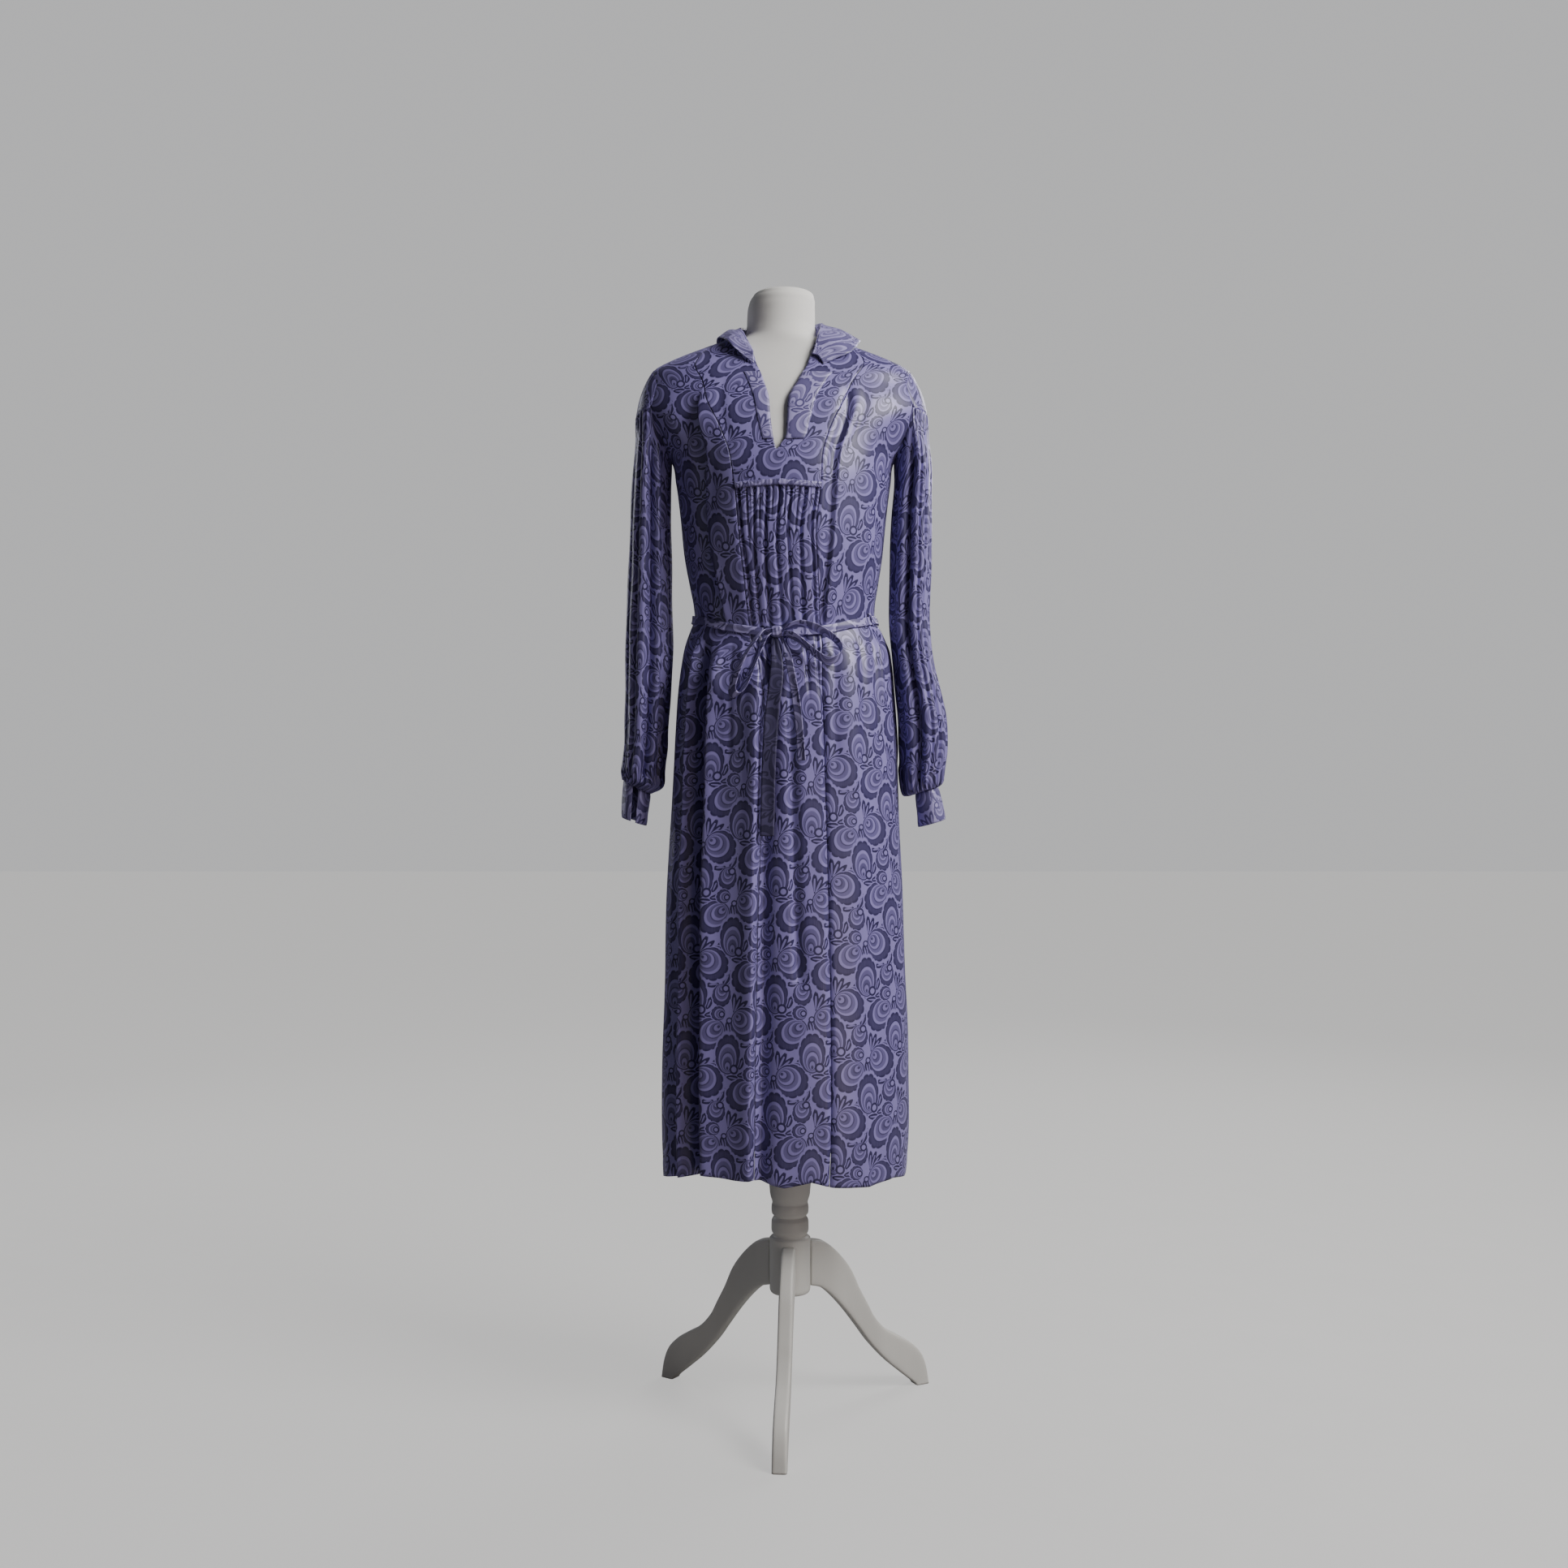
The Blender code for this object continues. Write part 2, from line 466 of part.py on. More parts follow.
def seam_gap(level, side):
    """Half of a seam's gap as an angle, to be added to a panel's left or right edge."""
    return side * np.degrees(0.5 * SEAM / hermite(BODY, level)[..., 2])


def add_side_fronts():
    rows = np.array(SKIRT_ROWS + BODICE_ROWS + CHEST_ROWS + NECK_ROWS)
    outer = armhole_angle(rows, "front")
    seam = hermite(FRONT_SEAMS, rows)
    gap = seam_gap(rows, 1)
    panel("side_front_left", -outer + gap, seam[:, 0] - gap, rows, 14)
    panel("side_front_right", seam[:, 1] + gap, outer - gap, rows, 14)


def add_back():
    rows = np.array(SKIRT_ROWS + BODICE_ROWS + CHEST_ROWS + NECK_ROWS)
    outer = armhole_angle(rows, "back")
    gap = seam_gap(rows, 1)
    panel("back", 180 - outer + gap, 180 + outer - gap, rows, 20)


def add_front_centre():
    """The gathered panel: a column lies in each gather and halfway between two gathers."""
    rows = np.array(SKIRT_ROWS + BODICE_ROWS[:-1] + (BAND - 0.5 * SEAM,))
    top = np.array([gather.top for gather in GATHERS])
    low = np.array([gather.low for gather in GATHERS])
    ends = [0, 0.012, 0.988, 1]
    top = np.sort(np.concatenate([ends, top, 0.5 * (top[1:] + top[:-1])]))
    low = np.sort(np.concatenate([ends, low, 0.5 * (low[1:] + low[:-1])]))
    level = rows[:, None]
    across = top + (low - top) * ramp(BAND - level, 0, BAND - WAIST)
    seam = hermite(FRONT_SEAMS, rows)
    gap = seam_gap(rows, 1)
    left, right = seam[:, 0] + gap, seam[:, 1] - gap
    angle = left[:, None] + (right - left)[:, None] * across
    add_sheet("front_centre", body_point(angle, level, gather_rise(across, level)))


def add_bib():
    """Two halves that part at the V slit and are one below its point."""
    rows = np.array((BAND + 0.5 * SEAM, 1.310, SLIT_POINT) + CHEST_ROWS[2:] + NECK_ROWS)
    half = 7
    seam = hermite(FRONT_SEAMS, rows)
    edge = hermite(SLIT, np.maximum(rows, SLIT_POINT))
    gap = seam_gap(rows, 1)
    middle = 0.5 * (edge[:, 0] + edge[:, 1])
    whole = rows <= SLIT_POINT
    left_edge = np.where(whole, middle, edge[:, 0])
    right_edge = np.where(whole, middle, edge[:, 1])
    across = np.linspace(0, 1, half)
    left = (seam[:, 0] + gap)[:, None] * (1 - across) + left_edge[:, None] * across
    right = right_edge[:, None] * (1 - across) + (seam[:, 1] - gap)[:, None] * across
    points = body_point(np.concatenate([left, right], axis=1), rows[:, None])
    count = int(whole.sum())
    # The two middle columns are one below the slit's point, so the grid is joined there.
    corners = np.arange(len(rows) * 2 * half).reshape(len(rows), 2 * half)
    corners[:count, half] = corners[:count, half - 1]
    quads = np.stack(
        [corners[:-1, :-1], corners[:-1, 1:], corners[1:, 1:], corners[1:, :-1]], axis=-1
    )
    faces = []
    for row in range(len(rows) - 1):
        for column in range(2 * half - 1):
            if column != half - 1:
                faces.append(quads[row, column].tolist())
    used, faces = np.unique(np.array(faces), return_inverse=True)
    add_wall("front_bib", points.reshape(-1, 3)[used], faces.reshape(-1, 4), SATIN, WALL)


def add_bib_band():
    seam = hermite(FRONT_SEAMS, np.array([BAND]))[0]
    angle = np.linspace(seam[0] + 1, seam[1] + 0.5, 13)
    level = np.array([[BAND - BAND_HALF], [BAND + BAND_HALF]])
    add_sheet("bib_band", body_point(angle, level, BAND_LAID), SATIN_EDGE)


def add_neck_bands():
    rows = np.array(CHEST_ROWS[2:7])
    edge = hermite(SLIT, rows)
    shape = hermite(BODY, rows)
    for name, column, width, side in (
        ("neck_band_left", 0, NECK_BAND_WIDTHS[0], -1),
        ("neck_band_right", 1, NECK_BAND_WIDTHS[1], 1),
    ):
        inner = edge[:, column]
        outer = inner + side * np.degrees(width / shape[:, 2])
        left, right = (outer, inner) if side < 0 else (inner, outer)
        angle = left[:, None] + (right - left)[:, None] * np.linspace(0, 1, 3)
        add_sheet(name, body_point(angle, rows[:, None], LAID), SATIN_EDGE)


def armhole_point(angle, side):
    """The armhole's edge, at this angle from the shoulder tip towards the front."""
    turn = np.radians(angle)
    level = ARMHOLE_MIDDLE + ARMHOLE_HALF * np.cos(turn)
    front = np.sin(turn) > 0
    y = -np.where(front, ARMHOLE_FRONT, ARMHOLE_BACK) * np.sin(turn)
    shape = hermite(BODY, level)
    depth = np.where(front, shape[..., 2], shape[..., 3])
    cosine = (np.abs(y) / depth) ** (shape[..., 4] / 2)
    sine = np.sqrt(np.clip(1 - cosine**2, 0, 1))
    x = shape[..., 1] + side * shape[..., 0] * sine ** (2 / shape[..., 4])
    return np.stack([x + side * ARMHOLE_GAP + FORM_AXIS[0], y + FORM_AXIS[1], level], axis=-1)


def sleeve_seam(angle, side):
    """The sleeve's upper edge: the gather seam over the arm, the armhole under it."""
    turn = np.radians(angle)
    armhole = armhole_point(angle, side)
    brow = armhole_point(np.sign(np.sin(turn)) * CAP_CORNER, side)
    across = np.abs(np.sin(turn))
    outer = armhole.copy()
    outer[..., 0] = brow[..., 0] + side * CAP_REACH * np.sqrt(np.clip(1 - across**2.2, 0, 1))
    outer[..., 2] = GATHER_SEAM - GATHER_RISE * np.cos(turn)
    under = ramp(np.abs(turned(angle)), 80, 92)[..., None]
    return outer * (1 - under) + armhole * under


def ring_of(ring, angle, side):
    turn = np.radians(angle)
    x = FORM_AXIS[0] + side * (ring.x + ring.half_width * np.cos(turn))
    y = FORM_AXIS[1] - ring.half_depth * np.sin(turn)
    return np.stack([x, y, ring.height + ring.tilt * np.cos(turn)], axis=-1)


def pleat_depth(pleats, angle):
    depth = np.zeros(np.shape(angle))
    for pleat in pleats:
        depth = depth + pleat.depth * np.exp(-((turned(angle - pleat.angle) / pleat.spread) ** 2))
    return depth


def facing(points, side):
    """Grids of the left side run the other way round, so that they face out."""
    return points if side > 0 else points[:, ::-1]


def sleeve_point(sections, pleats, angle, along, side):
    """along is 0 at the gather seam and 1 at the lowest section."""
    top = sleeve_seam(angle, side)
    lowest = sections[-1][0]
    height = top[..., 2] + (lowest - top[..., 2]) * along
    outer, inner, depth = np.moveaxis(hermite(sections[::-1], np.minimum(height, sections[0][0])), -1, 0)
    turn = np.radians(angle)
    pressed = 1 - pleat_depth(pleats, angle) * ramp(along, 0.0, 0.04) / (0.5 * (outer - inner))
    x = side * (0.5 * (outer + inner) + 0.5 * (outer - inner) * np.cos(turn) * pressed)
    y = -depth * np.sin(turn) * (1 - pleat_depth(pleats, angle) * ramp(along, 0, 0.04) / depth)
    spot = np.stack([x + FORM_AXIS[0], y + FORM_AXIS[1], height], axis=-1)
    settled = ramp(along, 0.0, 0.16)[..., None]
    drop = np.stack(np.broadcast_arrays(top[..., 0], top[..., 1], height), axis=-1)
    return drop * (1 - settled) + spot * settled


def add_sleeve(name, sections, pleats, blouse, cuff_top, side):
    angle = np.array(SLEEVE_ANGLES, float)
    along = np.array([0.0002, 0.04, 0.09, 0.16, 0.26, 0.38, 0.50, 0.61, 0.71, 0.80, 0.88, 0.94, 1.0])
    grid = sleeve_point(sections, pleats, angle[None, :], along[:, None], side)
    last = ring_of(cuff_top, angle, side)[None]
    grid = np.concatenate([grid, ring_of(blouse, angle, side)[None], last], axis=0)[::-1]
    add_sheet(name, facing(grid, -side), closed=True)


def add_cap(name, side):
    rows = np.array(CHEST_ROWS[5:] + (GATHER_SEAM + GATHER_RISE,))
    angle = np.degrees(np.arccos(np.clip((rows - ARMHOLE_MIDDLE) / ARMHOLE_HALF, -1, 1)))
    corners = np.unique(np.round(np.concatenate([-angle, angle]), 4))
    angle = np.sort(np.concatenate([corners, 0.5 * (corners[1:] + corners[:-1])]))
    edge = armhole_point(corners, side)
    upper = np.stack([np.interp(angle, corners, edge[:, axis]) for axis in range(3)], axis=-1)
    lower = sleeve_seam(angle, side)
    lower[:, 2] += SEAM
    along = np.array([0, 0.33, 0.66, 1])[:, None, None]
    swell = 4 * CAP_SWELL * along * (1 - along) * np.cos(np.radians(angle))[None, :, None]
    grid = lower * (1 - along) + upper * along + swell * np.array([side * 0.9, 0, 0.43])
    add_sheet(name, facing(grid, -side))


def add_cuff(name, top, end, side, opening=None):
    angle = np.arange(0, 360, 20.0)
    if opening:
        angle = np.linspace(opening[1], opening[0] + 360, 18)
    along = np.array([0, 0.5, 1])[:, None, None]
    upper = ring_of(top, angle, side) - np.array([0, 0, SEAM])
    grid = ring_of(end, angle, side) * (1 - along) + upper * along
    add_sheet(name, facing(grid, -side), SATIN_EDGE, CUFF_WALL, opening is None)


def add_collar():
    """The stand rises from the neckline to the fold, and the fall comes down outside it."""
    table = np.array(COLLAR)
    place = np.arange(len(table))
    fine = np.linspace(0, len(table) - 1, 2 * len(table) - 1)
    table = hermite(np.column_stack([place, table]), fine)
    fold, edge = table[:, :3].copy(), table[:, 3:].copy()
    shift = np.array([*FORM_AXIS, 0])
    inward = fold - edge
    inward[:, 2] = 0
    inward /= np.linalg.norm(inward, axis=1)[:, None]
    raised = ramp(fold[:, 2], 1.495, 1.520)[:, None]
    angle = np.degrees(np.arctan2(fold[:, 0], -fold[:, 1]))
    x, y = ring_point(BODY, angle, np.full(len(fold), NECKLINE))
    seam = np.stack([x, y, np.full(len(fold), NECKLINE + COLLAR_SEAM)], axis=-1)
    base = seam * raised + (fold + np.array([0, COLLAR_BACK, 0])) * (1 - raised)
    half = 0.5 * (fold + edge) + np.array([0, 0, COLLAR_CROWN])
    reach = COLLAR_STAND * (COLLAR_SHARE + (1 - COLLAR_SHARE) * raised)
    near = fold - inward * reach - np.array([0, 0, COLLAR_SAG])
    grid = np.stack([edge, half, near, fold, base]) + shift
    add_sheet("collar", grid[:, ::-1], SATIN_EDGE)


def add_belt():
    """The belt lies on the waist, from one side of the knot round the back to the other."""
    half = np.degrees(0.5 * KNOT_SIZE[0] / WAIST_DEPTH)
    start = np.degrees(KNOT_MIDDLE[0] / WAIST_DEPTH)
    angle = np.linspace(start + half + 0.2, start + 360 - half - 0.2, 41)
    level = WAIST + np.array([[-0.5], [0.5]]) * BELT_HEIGHT
    add_sheet("belt_waist", body_point(angle, level, BELT_OUT, 0.0), SATIN_EDGE)


def front_y(x, z):
    """y of the dress's front, without its folds, at this x and height."""
    shape = hermite(BODY, z)
    share = np.clip(np.abs(x - shape[..., 1]) / shape[..., 0], 0, 1)
    return -shape[..., 2] * (1 - share ** shape[..., 4]) ** (1 / shape[..., 4])


def add_ribbon(name, route, across, width, count):
    """A ribbon along the route. across is its width's direction. It is narrow at the knot."""
    route = np.array(route)
    place = np.linspace(0, len(route) - 1, count)
    x, clear, z = hermite(np.column_stack([np.arange(len(route)), route]), place).T
    y = front_y(x, z) - clear
    middle = np.stack([x, y, z], axis=-1) + np.array([*FORM_AXIS, 0])
    across = np.array(across, float)
    across /= np.linalg.norm(across)
    half = 0.5 * width * (0.6 + 0.4 * ramp(place, 0, 2.0))[:, None]
    add_sheet(name, np.stack([middle - across * half, middle + across * half], axis=1), SATIN_EDGE)


def add_bow():
    add_ribbon("belt_loop_right", LOOP_RIGHT, (0.05, -0.80, 0.30), 0.013, 19)
    add_ribbon("belt_loop_left", LOOP_LEFT, (0.55, -0.65, 0.35), 0.014, 17)
    add_ribbon("belt_tail_light", TAIL_LIGHT, (-0.90, 0.40, 0.05), 0.011, 10)
    add_ribbon("belt_tail_dark", TAIL_DARK, (-0.98, 0.15, 0.0), 0.019, 11)
    bpy.ops.mesh.primitive_cube_add(size=1)
    knot = bpy.context.object
    knot.name = "belt_knot"
    knot.data.name = "belt_knot"
    for corner in knot.data.vertices:
        corner.co = [corner.co[axis] * KNOT_SIZE[axis] * KNOT_CAGE for axis in range(3)]
    x, z = KNOT_MIDDLE
    y = float(front_y(np.array(x), np.array(WAIST)))
    knot.location = (x + FORM_AXIS[0], y - 0.5 * KNOT_SIZE[1] - KNOT_OUT + FORM_AXIS[1], z)
    knot.data.materials.append(material("belt_knot", SATIN_EDGE, 0.35))
    rounded = knot.modifiers.new("rounded", "SUBSURF")
    rounded.levels = 2
    rounded.render_levels = 2
    gather_in(knot)


def add_form():
    """The limbless form, a closed skin over its sections, flat below and almost flat on top."""
    rows = np.array([row[0] for row in FORM])
    angle = np.linspace(0, 360, FORM_SIDES, endpoint=False)
    x, y = ring_point(FORM, angle[None, :], rows[:, None])
    height = np.broadcast_to(rows[:, None], x.shape)
    points = np.stack([x + FORM_AXIS[0], y + FORM_AXIS[1], height], axis=-1)
    corners = np.arange(points[..., 0].size).reshape(points.shape[:2])
    after = np.roll(corners, -1, axis=1)
    faces = np.stack([corners[:-1], after[:-1], after[1:], corners[1:]], axis=-1).reshape(-1, 4)
    mesh = bpy.data.meshes.new("form_body")
    ends = [corners[0, ::-1].tolist(), corners[-1].tolist()]
    mesh.from_pydata(points.reshape(-1, 3).tolist(), [], faces.tolist() + ends)
    mesh.shade_smooth()
    add_object("form_body", mesh, JERSEY, 0.85)


def add_stand():
    axis = (FORM_AXIS[0] + STAND_SHIFT, FORM_AXIS[1], 0)
    profile = bpy.data.meshes.new("stand_column")
    outline = [(0, COLUMN[0][1])] + list(COLUMN) + [(0, COLUMN[-1][1])]
    profile.from_pydata(
        [(radius, 0, height) for radius, height in outline],
        [(i, i + 1) for i in range(len(outline) - 1)],
        [],
    )
    column = add_object("stand_column", profile, PAINTED_WOOD, 0.4)
    column.location = axis
    screw = column.modifiers.new("turned", "SCREW")
    screw.steps = 20
    screw.render_steps = 20
    screw.use_merge_vertices = True
    screw.merge_threshold = MERGE
    bottom, top = COLUMN_TOP + POLE_GAP, FORM[0][0] - POLE_GAP
    bpy.ops.mesh.primitive_cylinder_add(
        vertices=20, radius=POLE_RADIUS, depth=top - bottom,
        location=(axis[0], axis[1], 0.5 * (top + bottom)),
    )
    pole = bpy.context.object
    pole.name = "stand_pole"
    pole.data.name = "stand_pole"
    pole.data.materials.append(material("stand_pole", STEEL, 0.3))
    gather_in(pole)
    for name, turn in (("front", -90), ("right", 30), ("left", 150)):
        add_leg("stand_leg_" + name, math.radians(turn + STAND_TURN), axis)


def add_leg(name, turn, axis):
    """An S-shaped board, upright, that runs out from the hub to its foot."""
    curve = bpy.data.curves.new(name, "CURVE")
    curve.dimensions = "2D"
    curve.fill_mode = "BOTH"
    curve.extrude = 0.5 * LEG_THICKNESS
    outline = []
    for edge in (LEG_TOP, LEG_UNDER):
        place = np.arange(len(edge))
        fine = np.linspace(0, len(edge) - 1, 2 * len(edge) - 1)
        outline += hermite(np.column_stack([place, edge]), fine).tolist()
    spline = curve.splines.new("POLY")
    spline.points.add(len(outline) - 1)
    for point, (reach, height) in zip(spline.points, outline):
        point.co = (reach, max(height, 0), 0, 1)
    spline.use_cyclic_u = True
    leg = add_object(name, curve, PAINTED_WOOD, 0.4)
    leg.location = axis
    leg.rotation_euler = (math.radians(90), 0, turn)
    weld = leg.modifiers.new("caps", "WELD")
    weld.merge_threshold = MERGE
    bevel = leg.modifiers.new("edges", "BEVEL")
    bevel.width = LEG_EDGE
    bevel.segments = 1
    bevel.limit_method = "ANGLE"
    bevel.angle_limit = math.radians(60)


def main():
    for old in list(bpy.data.objects):
        bpy.data.objects.remove(old)
    bpy.context.scene.collection.children.link(bpy.data.collections.new("smock dress"))
    add_side_fronts()
    add_back()
    add_front_centre()
    add_bib()
    add_bib_band()
    add_neck_bands()
    for side, word in ((-1, "left"), (1, "right")):
        add_cap("shoulder_cap_" + word, side)
    add_sleeve("sleeve_left", LEFT_SLEEVE, LEFT_PLEATS, LEFT_BLOUSE, LEFT_CUFF_TOP, -1)
    add_sleeve("sleeve_right", RIGHT_SLEEVE, RIGHT_PLEATS, RIGHT_BLOUSE, RIGHT_CUFF_TOP, 1)
    add_cuff("cuff_left", LEFT_CUFF_TOP, LEFT_CUFF_END, -1, LEFT_CUFF_OPEN)
    add_cuff("cuff_right", RIGHT_CUFF_TOP, RIGHT_CUFF_END, 1)
    add_collar()
    add_belt()
    add_bow()
    add_form()
    add_stand()


main()
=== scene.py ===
# A smock dress in patterned satin on a limbless dress form, with a turned tripod stand.
# Left and right are as seen from the front. Angles round the body are in degrees:
# 0 in front, 90 at the right, 180 behind. Everything is in metres.
from collections import namedtuple

import bpy
import numpy as np
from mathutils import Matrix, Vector


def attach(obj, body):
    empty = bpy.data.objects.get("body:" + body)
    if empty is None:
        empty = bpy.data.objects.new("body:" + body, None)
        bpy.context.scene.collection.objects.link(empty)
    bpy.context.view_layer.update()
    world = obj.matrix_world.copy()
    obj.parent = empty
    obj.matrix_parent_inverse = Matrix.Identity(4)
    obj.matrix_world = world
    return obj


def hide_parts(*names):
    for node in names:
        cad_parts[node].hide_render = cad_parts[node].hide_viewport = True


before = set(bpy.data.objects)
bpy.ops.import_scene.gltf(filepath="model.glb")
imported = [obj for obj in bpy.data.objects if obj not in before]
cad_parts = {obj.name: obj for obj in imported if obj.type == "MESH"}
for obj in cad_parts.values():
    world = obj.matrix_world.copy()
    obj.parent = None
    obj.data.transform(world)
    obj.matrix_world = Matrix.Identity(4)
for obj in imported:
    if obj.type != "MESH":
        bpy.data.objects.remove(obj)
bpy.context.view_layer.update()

formAxis = (-0.0008, 0.0461)      # x and y of the form's upright axis

garment = {
    "hem": 0.335, "waist": 1.113, "band": 1.2845, "underarm": 1.335, "shoulderTip": 1.466,
    "neckline": 1.509,
    "waistDip": 0.026,        # the belt hangs this much lower in front
    "dipReach": 0.045,        # and pulls the rows this far above and below with it
    "bandPeak": 0.0035,       # the band's slight peak: its rise, its angle and half width in degrees
    "peakAngle": -2.5, "peakHalf": 21, "peakReach": 0.02,
    "wall": 0.0007,           # the satin, doubled at the seams
    "foldFade": 0.035,        # length over which a fold starts and ends
    "waistHold": 0.7,         # share of each fold that the belt presses flat
    "waistReach": 0.022,      # and how far above and below it they are pressed
    "waveDepth": 0.0011,      # of the satin's slow waves
    "shoulders": (1.40, 1.44),     # between these heights the cloth becomes smooth
    "seamDitch": 0.0013,      # how deep the cloth turns in along a seam
    "seamReach": 0.0022,      # how far from the seam it starts to turn in
    "allowance": 0.975,       # a turned-in edge, as a share of its distance from the axis
    "rowStep": 0.0042,        # height of one row of faces
    "hemDeep": 0.0210,        # the hem is turned up this far
    "hemProud": 0.0006,       # and stands out a little, being double
    "hemEdge": 0.002,         # half the height over which its upper edge fades
    "waveTop": 0.48,          # the hem's waves have died out here
}

# The garment's outside: height, half width, middle in x, depth in front, depth behind,
# exponent of the rounded outline.
bodyRows = (
    (0.325, 0.1700, 0.0005, 0.122, 0.118, 2.15),
    (0.383, 0.1732, 0.0015, 0.124, 0.120, 2.15),
    (0.498, 0.1736, 0.0020, 0.124, 0.122, 2.15),
    (0.613, 0.1702, 0.0022, 0.122, 0.122, 2.15),
    (0.728, 0.1668, 0.0012, 0.120, 0.121, 2.15),
    (0.843, 0.1606, 0.0015, 0.118, 0.120, 2.15),
    (0.958, 0.1558, 0.0018, 0.116, 0.119, 2.15),
    (1.015, 0.1518, 0.0022, 0.113, 0.116, 2.15),
    (1.050, 0.1480, 0.0030, 0.108, 0.110, 2.15),
    (1.078, 0.1425, 0.0030, 0.102, 0.102, 2.15),
    (1.100, 0.1335, 0.0020, 0.097, 0.095, 2.15),
    (1.113, 0.1275, 0.0010, 0.094, 0.091, 2.15),
    (1.128, 0.1275, 0.0005, 0.097, 0.092, 2.15),
    (1.160, 0.1325, 0.0000, 0.106, 0.097, 2.15),
    (1.195, 0.1385, -0.0005, 0.113, 0.101, 2.15),
    (1.255, 0.1450, -0.0008, 0.119, 0.104, 2.15),
    (1.305, 0.1515, -0.0010, 0.120, 0.105, 2.15),
    (1.335, 0.1570, -0.0015, 0.116, 0.103, 2.20),
    (1.360, 0.1760, -0.0020, 0.110, 0.100, 2.20),
    (1.404, 0.2040, -0.0030, 0.097, 0.092, 2.20),
    (1.435, 0.1960, -0.0035, 0.082, 0.080, 2.20),
    (1.466, 0.1790, -0.0040, 0.066, 0.062, 2.20),
    (1.480, 0.1520, -0.0045, 0.058, 0.056, 2.10),
    (1.496, 0.1100, -0.0045, 0.053, 0.053, 2.00),
    (1.512, 0.0610, -0.0045, 0.051, 0.052, 2.00),
)

# The hem's rise at each angle.
hemWave = (
    (-180, 0.000), (-150, 0.004), (-120, -0.003), (-86, -0.005), (-52, 0.010), (-39, 0.018),
    (-22, 0.014), (-13, 0.015), (-4, 0.008), (0, 0.005), (11, 0.012), (20, 0.004), (29, 0.002),
    (41, 0.000), (52, 0.003), (60, 0.005), (76, 0.000), (120, 0.004), (150, -0.003), (180, 0.000),
)

# Seams down the front: height, angle of the left seam, angle of the right seam.
frontSeams = (
    (0.320, -12.5, 19.5), (0.605, -11.9, 19.4), (0.845, -10.3, 19.0), (0.954, -9.8, 18.3),
    (1.009, -10.4, 17.9), (1.064, -14.6, 17.8), (1.121, -21.0, 21.0), (1.174, -22.8, 18.5),
    (1.228, -24.0, 16.4), (1.284, -25.0, 18.4), (1.320, -25.8, 18.2), (1.400, -27.5, 22.0),
    (1.450, -35.0, 32.0), (1.480, -46.0, 45.0), (1.512, -76.0, 76.0),
)

# Edges of the V slit: height, angle of the left edge, angle of the right edge.
slitRows = (
    (1.332, -2.5, -2.1), (1.348, -3.3, 0.6), (1.372, -3.7, 1.3), (1.415, -4.2, 2.5),
    (1.432, -5.6, 4.9), (1.452, -7.6, 8.0), (1.476, -12.4, 13.6), (1.490, -19.0, 21.0),
    (1.500, -31.0, 32.0), (1.512, -58.0, 58.0),
)

# Folds: height and angle at the upper and the lower end, spread to the left and to the right
# in degrees, and how far the cloth stands out, or in with a minus.
Fold = namedtuple("Fold", "top topAngle low lowAngle left right rise")
largeFolds = (
    Fold(1.43, -38, 1.13, -54, 9.0, 7.0, -0.0050),
    Fold(1.44, 24, 1.11, 22, 2.6, 3.0, -0.0020),
    Fold(1.36, 44, 1.15, 55, 10.0, 12.0, 0.0025),
    Fold(1.09, -38, 0.99, -35, 2.5, 2.5, 0.0040),
    Fold(1.09, -49, 0.20, -43, 4.0, 2.8, -0.0230),
    Fold(1.09, -57, 0.20, -52.5, 2.2, 2.4, 0.0085),
    Fold(1.09, -61.5, 0.20, -56.5, 1.5, 1.5, -0.0050),
    Fold(1.08, -65, 0.20, -64, 4.0, 4.5, -0.0090),
    Fold(1.07, -40, 0.20, -37.5, 1.8, 6.0, 0.0085),
    Fold(1.05, -12.4, 0.20, -14.8, 6.0, 1.3, 0.0080),
    Fold(1.06, -8.4, 0.20, -10.8, 1.6, 4.6, -0.0120),
    Fold(1.03, 1.6, 0.60, 5.0, 1.6, 2.6, -0.0070),
    Fold(1.05, 17.8, 0.20, 19.5, 1.2, 1.6, -0.0025),
    Fold(1.11, 73, 0.98, 68, 4.0, 4.0, -0.0050),
    Fold(1.10, 34, 0.60, 33, 7.0, 8.0, 0.0030),
    Fold(0.90, 50, 0.20, 47, 6.0, 6.0, -0.0030),
    Fold(1.09, 112, 0.20, 110, 5.0, 6.0, -0.0110),
    Fold(1.08, 127, 0.20, 129, 6.0, 4.0, 0.0070),
    Fold(1.09, 143, 0.20, 146, 4.0, 6.0, -0.0140),
    Fold(1.08, 160, 0.20, 162, 7.0, 4.0, 0.0060),
    Fold(1.09, 172, 0.30, 176, 4.0, 5.0, -0.0100),
    Fold(1.09, -166, 0.20, -163, 5.0, 4.0, -0.0080),
    Fold(1.09, -150, 0.20, -147, 4.0, 6.0, 0.0060),
    Fold(1.09, -136, 0.20, -132, 4.0, 5.0, -0.0150),
    Fold(1.09, -117, 0.20, -118, 6.0, 5.0, 0.0050),
    Fold(1.09, -102, 0.20, -103, 5.0, 4.0, -0.0090),
    Fold(1.24, 150, 1.12, 148, 5.0, 6.0, -0.0050),
    Fold(1.26, -158, 1.12, -160, 6.0, 5.0, -0.0060),
    Fold(1.22, -122, 1.12, -126, 6.0, 6.0, -0.0045),
)

